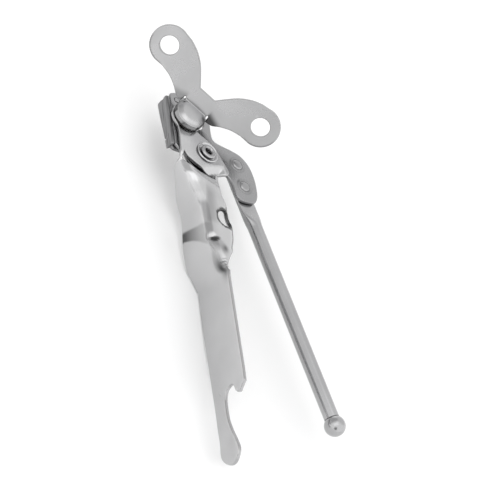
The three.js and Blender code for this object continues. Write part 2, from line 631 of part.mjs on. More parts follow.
function rodHandle() {
  const { along, across, start } = rodFrame();
  const upright = new THREE.Vector3(0, 0, 1);
  const rings = [];
  // Distance down the rod, half width and roundness, from the tang's blunt end to the ball.
  const wide = TANG_WIDTH / 2;
  const stretches = [
    [-TANG_LENGTH, 0.35 * wide, 0], [-TANG_LENGTH + 1, 0.8 * wide, 0], [-TANG_LENGTH + 3, wide, 0],
    [-ROD_FLARE, wide, 0], [-0.5 * ROD_FLARE, 0.96 * wide, 0.14], [0, 0.88 * wide, 0.48],
    [0.5 * ROD_FLARE, 0.78 * wide, 0.84], [ROD_FLARE, ROD_R, 1],
    [ROD_LENGTH - BALL_R + ROD_SEAT, ROD_R, 1],
  ];
  for (const [s, halfWidth, round] of stretches) {
    const halfHeight = TANG_THICKNESS / 2 + (ROD_R - TANG_THICKNESS / 2) * round;
    const power = 1 / (1 + 2 * (1 - round));
    const section = [];
    for (let i = 0; i < ROD_FACETS; i += 1) {
      const angle = (2 * Math.PI * (i + 0.5)) / ROD_FACETS;
      const cx = Math.sign(Math.cos(angle)) * Math.abs(Math.cos(angle)) ** power;
      const cz = Math.sign(Math.sin(angle)) * Math.abs(Math.sin(angle)) ** power;
      section.push(start.clone()
        .addScaledVector(along, s)
        .addScaledVector(across, halfWidth * cx)
        .addScaledVector(upright, halfHeight * cz));
    }
    rings.push(section);
  }
  let body = loft(rings);
  for (const at of Object.values(ROD_RIVETS)) {
    const [low, high] = [TANG_BOTTOM - OVERCUT, TANG_TOP + OVERCUT];
    body = body.subtract(bar(RIVET_SHANK_R + FIT_GAP, low, high, at, PIN_FACETS));
  }
  return body;
}

/** The ball end, bored to sit over the end of the rod. */
function ballKnob() {
  const { along, start } = rodFrame();
  const bore = ROD_R + FIT_GAP;
  const seat = ROD_SEAT - BALL_R + PLATE_GAP;
  const profile = [[0, seat], [bore, seat]];
  const steps = 14;
  const mouth = Math.asin(bore / BALL_R);
  for (let i = 0; i < steps; i += 1) {
    const angle = mouth + ((Math.PI - mouth) * i) / steps;
    profile.push([BALL_R * Math.sin(angle), -BALL_R * Math.cos(angle)]);
  }
  profile.push([0, BALL_R]);
  const geometry = new THREE.LatheGeometry(profile.map(([r, s]) => new THREE.Vector2(r, s)), FACETS);
  const turn = new THREE.Quaternion().setFromUnitVectors(new THREE.Vector3(0, 1, 0), along);
  const centre = start.clone().addScaledVector(along, ROD_LENGTH);
  return solid(geometry.applyQuaternion(turn).translate(centre.x, centre.y, centre.z));
}

// ---- Assembly ----

const group = new THREE.Group();

function addPiece(name, body, finish) {
  const mesh = new THREE.Mesh(geometryOf(body), new THREE.MeshStandardMaterial(finish));
  mesh.name = name;
  group.add(mesh);
}

addPiece('frame_handle', frameHandle(), FINISH.frame);
addPiece('pivot_eyelet', pivotEyelet(), FINISH.frame);
addPiece('pivot_top_washer', pivotTopWasher(), FINISH.frame);
addPiece('pivot_back_washer', pivotBackWasher(), FINISH.frame);
addPiece('axle_bush', axleBush(), FINISH.hardened);
addPiece('lever_plate', leverPlate(), FINISH.lever);
addPiece('cutter_blade', cutterBlade(), FINISH.ground);
for (const [end, at] of Object.entries(CUTTER_RIVETS)) {
  addPiece(`cutter_rivet_${end}`, cutterRivet(at), FINISH.lever);
}
addPiece('rod_handle', rodHandle(), FINISH.lever);
for (const [end, at] of Object.entries(ROD_RIVETS)) {
  addPiece(`rod_rivet_${end}`, rodRivet(at), FINISH.lever);
}
addPiece('ball_knob', ballKnob(), FINISH.lever);
addPiece('wing_key', wingKey(), FINISH.key);
addPiece('spring_washer', springWasher(), FINISH.hardened);
addPiece('drive_axle', driveAxle(), FINISH.hardened);
addPiece('spacer_collar', spacerCollar(), FINISH.hardened);
addPiece('thrust_washer', thrustWasher(), FINISH.hardened);
addPiece('feed_wheel', feedWheel(), FINISH.hardened);
addPiece('wheel_washer', wheelWasher(), FINISH.hardened);

// Stand the part on its own base, with the origin under its middle.
const box = new THREE.Box3().setFromObject(group);
const middle = box.getCenter(new THREE.Vector3());
group.position.set(-middle.x, -middle.y, -box.min.z);

export default group;
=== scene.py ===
"""A butterfly can opener in plated steel, dressed for the studio around its measured frame.

Sizes are millimetres from the handle pivot unless a name says otherwise: X across the tool, Y
from the tail to the wheel, Z up from the top of the head plate. Datum turns them into the
frame's metres.
"""
import logging
import math
from bisect import bisect_right
from dataclasses import dataclass, field
from enum import Enum
from typing import Callable

import bpy
import numpy as np
from mathutils import Matrix, Vector
from mathutils.geometry import delaunay_2d_cdt


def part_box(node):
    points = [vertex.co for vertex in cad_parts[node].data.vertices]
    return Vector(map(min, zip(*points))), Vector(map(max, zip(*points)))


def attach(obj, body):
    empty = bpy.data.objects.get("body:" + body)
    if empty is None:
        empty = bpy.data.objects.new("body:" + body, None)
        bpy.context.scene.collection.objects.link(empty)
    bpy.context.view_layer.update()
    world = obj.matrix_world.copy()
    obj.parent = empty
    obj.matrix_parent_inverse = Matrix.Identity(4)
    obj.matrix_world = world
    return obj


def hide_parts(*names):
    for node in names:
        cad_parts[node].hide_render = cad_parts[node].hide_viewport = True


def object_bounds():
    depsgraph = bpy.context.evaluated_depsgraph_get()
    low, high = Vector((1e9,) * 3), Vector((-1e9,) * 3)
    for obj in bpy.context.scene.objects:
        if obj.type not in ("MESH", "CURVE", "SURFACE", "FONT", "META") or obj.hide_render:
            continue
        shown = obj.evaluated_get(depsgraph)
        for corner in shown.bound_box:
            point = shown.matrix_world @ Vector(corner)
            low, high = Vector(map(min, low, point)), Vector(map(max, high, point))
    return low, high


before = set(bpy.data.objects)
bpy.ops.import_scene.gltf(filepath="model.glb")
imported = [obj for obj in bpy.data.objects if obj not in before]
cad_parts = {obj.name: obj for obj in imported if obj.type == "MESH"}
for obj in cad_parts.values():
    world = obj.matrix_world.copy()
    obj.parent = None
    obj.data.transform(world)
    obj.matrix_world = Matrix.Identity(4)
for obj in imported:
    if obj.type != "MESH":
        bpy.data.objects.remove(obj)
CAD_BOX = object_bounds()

log = logging.getLogger("can_opener")

MM = 0.001
Pair = tuple[float, float]
Loop = list[Pair]
Form = Callable[[float, float], Vector]
Tone = Callable[[float, float], float]
CutEdgeAndPaintedShade = Callable[[Pair, Pair], float]

# Sizes that more than one piece shares, as in the frame.
SHEET = 1.5
PLATE_GAP = 0.3
WASHER = 0.5
LEVER_TOP = -SHEET - PLATE_GAP
LEVER_BOTTOM = LEVER_TOP - SHEET
AXLE_AT: Pair = (-8.1, 15.1)
AXLE_R = 2.2
PIVOT_R = 2.4
FIT_GAP = 0.08
COLLAR_R = 3.18
TANG_THICKNESS = 1.8
TANG_TOP = LEVER_BOTTOM - PLATE_GAP
UP = Vector((0, 0, 1))

STRAIGHT_ABOVE = 168   # a corner that opens wider than this, in degrees, is left as it is
CORNER_SHARE = 0.45    # share of a side that the rounding of one corner may take
DARKEST = 0.08         # share of its tint that a point keeps under full painted shade and cut-edge darkening
MOST_PAINTED_SHADE = 0.95       # the most that the painted shade on a face adds up to


class Body(Enum):
    """The bodies of the frame that the pieces ride on."""

    FRAME = "frame"
    LEVER = "lever"
    KEY = "key"


class Slot(Enum):
    """The material slots."""

    FRAME = "plated_frame"
    LEVER = "plated_lever"
    ROD = "plated_rod"
    KEY = "plated_key"
    GROUND = "ground_steel"
    HARDENED = "hardened_steel"


# ---------------------------------------------------------------- curves and blends


def smooth(t: float) -> float:
    """Ease from 0 to 1 as t goes from 0 to 1, level outside."""
    t = min(1.0, max(0.0, t))
    return t * t * (3 - 2 * t)


def bell(*away: float) -> float:
    """A bell of height 1, falling with distances given in shares of its reach."""
    return math.exp(-sum(a ** 2 for a in away))


def level(height: float) -> Form:
    """The form of a sheet that stays flat, with its middle at a height."""
    return lambda x, y: Vector((x, y, height))


@dataclass(frozen=True)
class Mound:
    """A bell of some height over a place on a pattern, with its own reach each way."""

    height: float
    at: Pair
    reach: Pair

    def over(self, x: float, y: float) -> float:
        """Its height at a place."""
        return self.height * bell((x - self.at[0]) / self.reach[0],
                                  (y - self.at[1]) / self.reach[1])


def arc(centre: Pair, radius: float, start: float, end: float, count: int) -> Loop:
    """Points along an arc.

    Args:
        centre: Middle of the arc.
        radius: Its radius.
        start: First angle in degrees.
        end: Last angle in degrees.
        count: Number of steps.

    Returns:
        count + 1 points, both ends included.
    """
    angles = [math.radians(start + (end - start) * i / count) for i in range(count + 1)]
    return [(centre[0] + radius * math.cos(a), centre[1] + radius * math.sin(a)) for a in angles]


def circle(centre: Pair, radius: float, count: int = 40) -> Loop:
    """A full circle as a closed loop of points."""
    return arc(centre, radius, 0, 360, count)[:-1]


def spline(knots: Loop, per_span: int = 8) -> Loop:
    """A smooth open curve through its knots.

    Args:
        knots: Points on the curve.
        per_span: Steps between two knots.

    Returns:
        The points of the curve, both ends included.
    """
    points = []
    last = len(knots) - 1
    for k in range(last):
        ring = [knots[max(k - 1, 0)], knots[k], knots[k + 1], knots[min(k + 2, last)]]
        for i in range(per_span):
            t = i / per_span
            points.append(tuple(_catmull([p[axis] for p in ring], t) for axis in (0, 1)))
    points.append(knots[-1])
    return points


def _catmull(p: list[float], t: float) -> float:
    """One coordinate of a Catmull-Rom span at t."""
    v0, v1 = (p[2] - p[0]) / 2, (p[3] - p[1]) / 2
    return ((2 * p[1] - 2 * p[2] + v0 + v1) * t + (-3 * p[1] + 3 * p[2] - 2 * v0 - v1)) * t * t \
        + v0 * t + p[1]


def fillet(points: Loop, radius: float, closed: bool = True, steps: int = 4) -> Loop:
    """Round the corners of an outline.

    Args:
        points: Corner points.
        radius: Rounding wanted at each corner, less where a side is short.
        closed: Whether the last point joins the first.
        steps: Steps round each corner.

    Returns:
        The outline with a small curve at each real corner.
    """
    rounded = []
    for i, here in enumerate(points):
        before, after = points[i - 1], points[(i + 1) % len(points)]
        to_before, to_after = Vector(before) - Vector(here), Vector(after) - Vector(here)
        opening = to_before.angle(to_after, math.pi)
        if opening > math.radians(STRAIGHT_ABOVE) or (not closed and i in (0, len(points) - 1)):
            rounded.append(tuple(here))
            continue
        reach = min(radius / math.tan(opening / 2), CORNER_SHARE * to_before.length,
                    CORNER_SHARE * to_after.length)
        first = Vector(here) + to_before.normalized() * reach
        last = Vector(here) + to_after.normalized() * reach
        for k in range(steps + 1):
            t = k / steps
            point = first * (1 - t) ** 2 + Vector(here) * 2 * t * (1 - t) + last * t ** 2
            rounded.append((point.x, point.y))
    return rounded


def divided(loop: Loop, spacing: float) -> Loop:
    """The closed loop with its long sides divided so that no step is over the spacing."""
    fine = []
    for here, after in zip(loop, loop[1:] + loop[:1]):
        length = math.dist(here, after)
        if length < 1e-6:
            continue
        count = max(1, math.ceil(length / spacing))
        fine += [tuple(a + (b - a) * k / count for a, b in zip(here, after)) for k in range(count)]
    return fine


def signed_area(loop: Loop) -> float:
    """Area inside a loop, positive where it runs anticlockwise."""
    return sum(a[0] * b[1] - b[0] * a[1] for a, b in zip(loop, loop[1:] + loop[:1])) / 2


def inside(points: np.ndarray, loops: list[Loop]) -> np.ndarray:
    """Which points lie on the material, inside the outline and outside its holes."""
    odd = np.zeros(len(points), bool)
    x, y = points[:, 0], points[:, 1]
    for loop in loops:
        for (ax, ay), (bx, by) in zip(loop, loop[1:] + loop[:1]):
            if ay == by:
                continue
            crosses = (ay > y) != (by > y)
            odd ^= crosses & (x < (bx - ax) * (y - ay) / (by - ay) + ax)
    return odd


# ---------------------------------------------------------------- skins


@dataclass
class Skin:
    """A closed skin in pivot millimetres.

    facing holds the direction that the surface faces at each point, where the maker knows it.
    It also keeps how much each point is darkened, from 0 to 1. On the faces that is painted light:
    painted dark reflections of surroundings that bright plate would mirror and painted shade in
    hollows and under parts. On cut edges it is partly the broken metal of a sheared edge and partly
    painted shade. It stays on the skin.
    """

    points: list[Vector] = field(default_factory=list)
    faces: list[tuple[int, ...]] = field(default_factory=list)
    facing: list[Vector] = field(default_factory=list)
    painted_shade_and_cut_edge: dict[int, float] = field(default_factory=dict)
    crease: float = 35.0

    def add(self, point: Vector, facing: Vector | None = None) -> int:
        """Add one point and return its number."""
        self.points.append(point)
        if facing is not None:
            self.facing.append(facing)
        return len(self.points) - 1


@dataclass
class Sheet:
    """A pressed sheet: the flat pattern it is blanked from and the form it is bent to.

    The edges are rounded over by the blanking. form gives the middle of the sheet's thickness.
    The cut edge is darkened where it faces outward, partly for its sheared metal and partly as
    painted shade; the face is darkened by painted shade and painted dark reflections.
    """

    outline: Loop
    form: Form
    thickness: float = SHEET
    holes: list[Loop] = field(default_factory=list)
    edge: float = 0.42
    grid: float = 1.0
    spacing: float = 0.6
    arc_steps: int = 3
    cut_edge_and_painted_shade: CutEdgeAndPaintedShade = lambda at, outward: 0.3
    painted_shade: Tone = lambda u, v: 0.0

    def skin(self) -> Skin:
        """Cut the pattern, bend it and close it with rounded edges."""
        loops = [self._turned(self.outline, True)] + [self._turned(h, False) for h in self.holes]
        rims = [self._inset(divided(loop, self.spacing)) for loop in loops]
        flat, triangles, rim_numbers = self._cut(rims)
        skin = Skin()
        half = self.thickness / 2
        places = [self._place(u, v) for u, v in flat]
        tops = [skin.add(at + normal * half, normal) for at, _, _, normal in places]
        bottoms = [skin.add(at - normal * half, -normal) for at, _, _, normal in places]
        # The top face carries the painted shade and painted dark reflections.
        for number, (u, v) in enumerate(flat):
            skin.painted_shade_and_cut_edge[tops[number]] = self.painted_shade(u, v)
        for a, b, c in triangles:
            skin.faces.append((tops[a], tops[b], tops[c]))
            skin.faces.append((bottoms[a], bottoms[c], bottoms[b]))
        for rim, numbers in zip(rims, rim_numbers):
            self._close(skin, rim, numbers, places, tops, bottoms)
        return skin

    @staticmethod
    def _turned(loop: Loop, anticlockwise: bool) -> Loop:
        """The loop running the way asked for."""
        return loop if (signed_area(loop) > 0) == anticlockwise else loop[::-1]

    def _inset(self, loop: Loop) -> list[tuple[Pair, Pair, float]]:
        """Step each rim point in by the edge rounding.

        Args:
            loop: The blanked edge.

        Returns:
            For each point, its place on the flat, its outward direction and its mitre.
        """
        rim = []
        count = len(loop)
        for i, here in enumerate(loop):
            before, after = loop[i - 1], loop[(i + 1) % count]
            sides = []
            for a, b in ((before, here), (here, after)):
                step = Vector(b) - Vector(a)
                sides.append(Vector((step.y, -step.x)).normalized())
            outward = (sides[0] + sides[1]).normalized()
            mitre = 1 / max(0.6, outward.dot(sides[0]))
            place = Vector(here) - outward * self.edge * mitre
            rim.append(((place.x, place.y), (outward.x, outward.y), mitre))
        return rim

    def _cut(self, rims: list) -> tuple[Loop, list[tuple[int, int, int]], list[list[int]]]:
        """Divide the flat pattern into triangles.

        Args:
            rims: The stepped-in rims.

        Returns:
            The flat points, the triangles and the point numbers along each rim.
        """
        loops = [[place for place, _, _ in rim] for rim in rims]
        border = [p for loop in loops for p in loop]
        low, high = np.min(border, axis=0), np.max(border, axis=0)
        xs = np.arange(low[0] + self.grid / 2, high[0], self.grid)
        ys = np.arange(low[1] + self.grid / 2, high[1], self.grid)
        grid = np.array([(x, y) for y in ys for x in xs])
        grid = grid[inside(grid, loops)]
        edge = np.array(border)
        clear = [np.min(np.hypot(*(edge - p).T)) > 0.5 * self.grid for p in grid]
        points = border + [tuple(p) for p in grid[np.array(clear, bool)]]
        edges, numbers, start = [], [], 0
        for loop in loops:
            run = list(range(start, start + len(loop)))
            edges += list(zip(run, run[1:] + run[:1]))
            numbers.append(run)
            start += len(loop)
        made = delaunay_2d_cdt([Vector(p) for p in points], edges, [], 0, 1e-7)
        flat = [(v.x, v.y) for v in made[0]]
        number_of = {old: new for new, olds in enumerate(made[3]) for old in olds}
        middles = np.array([np.mean([flat[i] for i in face], axis=0) for face in made[2]])
        triangles = []
        for face, keep in zip(made[2], inside(middles, loops)):
            if keep:
                a, b, c = face
                turned = signed_area([flat[a], flat[b], flat[c]]) > 0
                triangles.append((a, b, c) if turned else (a, c, b))
        return flat, triangles, [[number_of[i] for i in run] for run in numbers]

    def _place(self, u: float, v: float) -> tuple[Vector, Vector, Vector, Vector]:
        """Where a flat point lands, its two directions in the bent sheet and its normal."""
        step = 0.05
        along_u = self.form(u + step, v) - self.form(u - step, v)
        along_v = self.form(u, v + step) - self.form(u, v - step)
        normal = along_u.cross(along_v).normalized()
        return self.form(u, v), along_u, along_v, normal

    def _close(self, skin: Skin, rim: list, numbers: list[int], places: list,
               tops: list[int], bottoms: list[int]) -> None:
        """Join the two faces round one rim with a rounded edge."""
        half = self.thickness / 2 - self.edge
        angles = [90 - 90 * k / self.arc_steps for k in range(1, self.arc_steps + 1)]
        rings = [[tops[i] for i in numbers]]
        for side, turns in ((1, angles), (-1, [-a for a in reversed(angles)])):
            for angle in turns:
                c, s = math.cos(math.radians(angle)), math.sin(math.radians(angle))
                ring = []
                for (flat, outward, mitre), i in zip(rim, numbers):
                    at, along_u, along_v, normal = places[i]
                    out = (along_u * outward[0] + along_v * outward[1]).normalized()
                    lift = side * half + self.edge * s
                    point = skin.add(at + out * self.edge * c * mitre + normal * lift,
                                     (out * c + normal * s).normalized())
                    # Rim points take the cut edge's darkening, partly painted shade, or on the
                    # upper side the face's painted shade.
                    skin.painted_shade_and_cut_edge[point] = max(self.cut_edge_and_painted_shade(flat, outward) * c,
                                           self.painted_shade(*flat) if side > 0 else 0.0)
                    ring.append(point)
                rings.append(ring)
        rings.append([bottoms[i] for i in numbers])
        for upper, lower in zip(rings, rings[1:]):
            for k in range(len(upper)):
                after = (k + 1) % len(upper)
                skin.faces.append((upper[k], lower[k], lower[after], upper[after]))


def turned(profile: Loop, origin: Vector, axis: Vector, sides: int = 56,
           crease: float = 35.0) -> Skin:
    """A piece turned about an axis.

    Args:
        profile: Radius and height pairs; a profile that leaves the axis closes on itself.
        origin: Height 0 on the axis.
        axis: Direction of rising height.
        sides: Facets round the axis.
        crease: Angle in degrees above which an edge stays crisp.

    Returns:
        The closed skin.
    """
    turn = Vector((0, 0, 1)).rotation_difference(axis).to_matrix()
    skin = Skin(crease=crease)
    rings = []
    for radius, height in profile:
        if radius < 1e-6:
            rings.append([skin.add(origin + turn @ Vector((0, 0, height)))])
            continue
        angles = [2 * math.pi * k / sides for k in range(sides)]
        spokes = [Vector((radius * math.cos(a), radius * math.sin(a), height)) for a in angles]
        rings.append([skin.add(origin + turn @ spoke) for spoke in spokes])
    if profile[0][0] > 1e-6:
        rings.append(rings[0])
    for a, b in zip(rings, rings[1:]):
        for k in range(sides):
            after = (k + 1) % sides
            corners = [a[k % len(a)], a[after % len(a)], b[after % len(b)], b[k % len(b)]]
            face = tuple(dict.fromkeys(corners))
            if len(face) > 2:
                skin.faces.append(face)
    return skin


def lofted(rings: list[list[Vector]], crease: float = 35.0) -> Skin:
    """A skin over rings that share one count of points, closed by a fan at each end."""
    skin = Skin(crease=crease)
    rows = [[skin.add(p) for p in ring] for ring in rings]
    count = len(rows[0])
    for a, b in zip(rows, rows[1:]):
        for k in range(count):
            after = (k + 1) % count
            skin.faces.append((a[k], a[after], b[after], b[k]))
    for row, flip in ((rows[0], True), (rows[-1], False)):
        middle = skin.add(sum((skin.points[i] for i in row), Vector()) / count)
        for k in range(count):
            pair = (row[k], row[(k + 1) % count])
            skin.faces.append((middle, *(reversed(pair) if flip else pair)))
    return skin


# ---------------------------------------------------------------- placing pieces


@dataclass(frozen=True)
class Datum:
    """The handle pivot in the frame, from which every size here is measured."""

    origin: Vector

    @classmethod
    def from_frame(cls) -> "Datum":
        """Read the pivot's place from its rivet and the washer that lies on the head plate."""
        low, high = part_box("pivot_eyelet")
        washer_low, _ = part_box("pivot_top_washer")
        washer_gap = PLATE_GAP / 2 * MM
        return cls(Vector(((low.x + high.x) / 2, (low.y + high.y) / 2, washer_low.z - washer_gap)))

    def world(self, point: Vector) -> Vector:
        """A point in pivot millimetres, in the frame's metres."""
        return self.origin + Vector(point) * MM


@dataclass(frozen=True)
class Workshop:
    """Makes the pieces: turns skins into objects, dresses them and hangs them on their bodies."""

    datum: Datum

    def piece(self, name: str, skin: Skin, finish: "Finish", body: Body,
              stands_for: tuple[str, ...] = ()) -> bpy.types.Object:
        """Make one visible piece.

        Args:
            name: Name of the piece.
            skin: Its closed skin.
            finish: Its finish.
            body: The body that it moves with.
            stands_for: Frame nodes that it is seen in place of.

        Returns:
            The new object.
        """
        mesh = bpy.data.meshes.new(name)
        mesh.from_pydata([self.datum.world(p) for p in skin.points], [], skin.faces)
        mesh.validate()
        mesh.shade_smooth()
        if skin.facing:
            mesh.normals_split_custom_set_from_vertices([n[:] for n in skin.facing])
        else:
            mesh.set_sharp_from_angle(angle=math.radians(skin.crease))
        # Painted shade, painted dark reflections and the cut edges' darkening go to the mesh as one
        # point attribute.
        if skin.painted_shade_and_cut_edge:
            painted_shade_and_cut_edge = mesh.attributes.new("painted_shade_and_cut_edge", "FLOAT", "POINT")
            painted_shade_and_cut_edge.data.foreach_set("value", [skin.painted_shade_and_cut_edge.get(i, 0.0)
                                            for i in range(len(skin.points))])
        mesh.materials.append(finish.material())
        made = bpy.data.objects.new(name, mesh)
        bpy.context.scene.collection.objects.link(made)
        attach(made, body.value)
        if stands_for:
            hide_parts(*stands_for)
        log.info("%s: %d points, %s, rides on %s", name, len(skin.points), finish.name, body.value)
        return made


# ---------------------------------------------------------------- finishes


class Bench:
    """Lays out the nodes of one material."""

    def __init__(self, name: str) -> None:
        """Start a material with a principled shader."""
        self.material = bpy.data.materials.new(name)
        self.material.use_nodes = True
        self.tree = self.material.node_tree
        self.shader = self.tree.nodes["Principled BSDF"]
        self.where = self.tree.nodes.new("ShaderNodeTexCoord").outputs["Object"]

    def node(self, kind: str, **sockets: object) -> bpy.types.Node:
        """Add a node and set or link its inputs.

        Args:
            kind: Node type without its ShaderNode prefix.
            sockets: Input values or sockets to link, by input name with _ for a space.

        Returns:
            The node.
        """
        node = self.tree.nodes.new("ShaderNode" + kind)
        for name, value in sockets.items():
            socket = node.inputs[name.replace("_", " ")]
            if isinstance(value, bpy.types.NodeSocket):
                self.tree.links.new(value, socket)
            else:
                socket.default_value = value
        return node

    def noise(self, scale: float, stretch: tuple[float, float, float] = (1, 1, 1),
              detail: float = 2.0) -> bpy.types.NodeSocket:
        """Noise over the piece.

        Args:
            scale: Cells per metre.
            stretch: Share of the scale along each axis.
            detail: Octaves.

        Returns:
            The noise's value socket.
        """
        mapped = self.node("Mapping", Vector=self.where, Scale=stretch)
        noise = self.node("TexNoise", Vector=mapped.outputs[0], Scale=scale, Detail=detail)
        return noise.outputs["Fac"]

    def spread(self, value: bpy.types.NodeSocket, low: float, high: float,
               start: float = 0.3, end: float = 0.7) -> bpy.types.NodeSocket:
        """Map a value from start..end to low..high."""
        return self.node("MapRange", Value=value, From_Min=start, From_Max=end, To_Min=low,
                         To_Max=high).outputs[0]

    def blend(self, share: bpy.types.NodeSocket, a: object, b: object) -> bpy.types.NodeSocket:
        """Mix two colours, each a socket or a tuple."""
        mix = self.tree.nodes.new("ShaderNodeMix")
        mix.data_type = "RGBA"
        self.tree.links.new(share, mix.inputs["Factor"])
        for socket, value in zip((mix.inputs[6], mix.inputs[7]), (a, b)):
            if isinstance(value, bpy.types.NodeSocket):
                self.tree.links.new(value, socket)
            else:
                socket.default_value = (*value, 1)
        return mix.outputs[2]

    def bumps(self, *layers: tuple[bpy.types.NodeSocket, float]) -> None:
        """Stack bump layers, each a height socket and its depth in millimetres."""
        below = None
        for height, depth in layers:
            bump = self.node("Bump", Height=height, Distance=depth * MM, Strength=1.0)
            if below is not None:
                self.tree.links.new(below, bump.inputs["Normal"])
            below = bump.outputs[0]
        self.tree.links.new(below, self.shader.inputs["Normal"])

    def feed(self, name: str, value: bpy.types.NodeSocket) -> None:
        """Link a socket to an input of the shader."""
        self.tree.links.new(value, self.shader.inputs[name])


@dataclass(frozen=True)
class Finish:
    """What every finish has: a name, a tint and a gloss, and one shared material."""

    name: str
    tint: tuple[float, float, float]
    roughness: float

    def material(self) -> bpy.types.Material:
        """The finish's material, made on first use."""
        return bpy.data.materials.get(self.name) or self._made()

    def _made(self) -> bpy.types.Material:
        """Lay out the material."""
        raise NotImplementedError


@dataclass(frozen=True)
class Plating(Finish):
    """Bright nickel plate over pressed steel, with the drawing lines showing through it."""

    lines: tuple[float, float, float] = (1.0, 0.04, 1.0)
    line_depth: float = 0.0008
    ripple: float = 0.006
    haze: float = 0.10

    def _made(self) -> bpy.types.Material:
        """Tint, haze, fine scuffs, drawing lines, the ripple of the pressed sheet and the skin's
        painted shade.
        """
        bench = Bench(self.name)
        cloud = bench.noise(60, detail=3)
        dulled = tuple(c * 0.90 for c in self.tint)
        bright = tuple(min(1.0, c * 1.05) for c in self.tint)
        worn = bench.spread(bench.node("NewGeometry").outputs["Pointiness"], 0, 1, 0.51, 0.56)
        base = bench.blend(bench.spread(cloud, 0, 1), self.tint, dulled)
        # Painted shade and painted dark reflections, with the cut edges' darkening, are read from
        # the skin and mixed towards a near-black tint.
        painted_shade = bench.node("Attribute")
        painted_shade.attribute_name = "painted_shade_and_cut_edge"
        painted_shade_tint = tuple(c * DARKEST for c in self.tint)
        bench.feed("Base Color", bench.blend(painted_shade.outputs["Fac"], bench.blend(worn, base, bright),
                                             painted_shade_tint))
        scuffs = bench.noise(900, (1.0, 0.12, 0.6), 4)
        rough = bench.node("Math", Value=bench.spread(cloud, self.roughness,
                                                      self.roughness + self.haze))
        rough.operation = "ADD"
        bench.tree.links.new(bench.spread(scuffs, 0, self.haze / 2, 0.55, 0.75), rough.inputs[1])
        bench.feed("Roughness", rough.outputs[0])
        bench.bumps((bench.noise(45, detail=1), self.ripple),
                    (bench.noise(6000, self.lines, 2), self.line_depth))
        bench.shader.inputs["Metallic"].default_value = 1.0
        return bench.material


@dataclass(frozen=True)
class GroundSteel(Finish):
    """Bare tool steel with grinding lines along one axis."""

    lines: tuple[float, float, float] = (1.0, 0.02, 1.0)

    def _made(self) -> bpy.types.Material:
        """Dark and light streaks, their roughness and their relief."""
        bench = Bench(self.name)
        streaks = bench.noise(2600, self.lines, 4)
        stain = bench.noise(240, detail=4)
        dark = tuple(c * 0.4 for c in self.tint)
        base = bench.blend(bench.spread(streaks, 0, 1, 0.35, 0.65), dark, self.tint)
        stained = tuple(c * 0.72 for c in self.tint)
        bench.feed("Base Color", bench.blend(bench.spread(stain, 0, 0.5, 0.55, 0.8), base, stained))
        bench.feed("Roughness", bench.spread(streaks, self.roughness, self.roughness + 0.2))
        bench.bumps((streaks, 0.008), (bench.noise(9000, detail=2), 0.001))
        bench.shader.inputs["Metallic"].default_value = 1.0
        return bench.material


@dataclass(frozen=True)
class HardenedSteel(Finish):
    """Heat-treated steel with a faint oiled bloom and a fine tumbled surface."""

    bloom: tuple[float, float, float] = (0.24, 0.22, 0.20)

    def _made(self) -> bpy.types.Material:
        """Bloom in patches and a tumbled pitting."""
        bench = Bench(self.name)
        patch = bench.noise(380, detail=5)
        bench.feed("Base Color", bench.blend(bench.spread(patch, 0, 1, 0.45, 0.7), self.tint,
                                             self.bloom))
        bench.feed("Roughness", bench.spread(patch, self.roughness, self.roughness + 0.18))
        bench.bumps((bench.noise(5200, detail=3), 0.004),)
        bench.shader.inputs["Metallic"].default_value = 1.0
        return bench.material


@dataclass(frozen=True)
class StudioPaint(Finish):
    """The pale matt paint of the studio floor."""

    def _made(self) -> bpy.types.Material:
        """A very faint mottle."""
        bench = Bench(self.name)
        mottle = bench.noise(9, detail=3)
        pale = tuple(c * 0.985 for c in self.tint)
        bench.feed("Base Color", bench.blend(bench.spread(mottle, 0, 1), self.tint, pale))
        bench.shader.inputs["Roughness"].default_value = self.roughness
        bench.shader.inputs["Specular IOR Level"].default_value = 0.2
        return bench.material


FRAME_PLATE = Plating("frame_plating", (0.56, 0.56, 0.565), 0.17)
LEVER_PLATE = Plating("lever_plating", (0.345, 0.345, 0.35), 0.22)
KEY_PLATE = Plating("key_plating", (0.49, 0.49, 0.495), 0.24, lines=(0.3, 1.0, 0.3))
ROD_PLATE = Plating("rod_plating", (0.42, 0.42, 0.425), 0.15, lines=(1.0, 0.02, 1.0),
                    line_depth=0.0015)
RIVET_PLATE = Plating("rivet_plating", (0.42, 0.42, 0.425), 0.20, lines=(1.0, 1.0, 1.0))
CUTTER_STEEL = GroundSteel("cutter_steel", (0.33, 0.33, 0.335), 0.30)
WHEEL_STEEL = HardenedSteel("wheel_steel", (0.27, 0.265, 0.26), 0.32)
FLOOR_PAINT = StudioPaint("floor_paint", (0.94, 0.94, 0.94), 0.7)


# ---------------------------------------------------------------- sheet handle


@dataclass(frozen=True)
class Station:
    """The folded section at one distance from the pivot, lengths measured round the sheet."""

    y: float
    lip: float
    flange: float
    web: float
    face: float


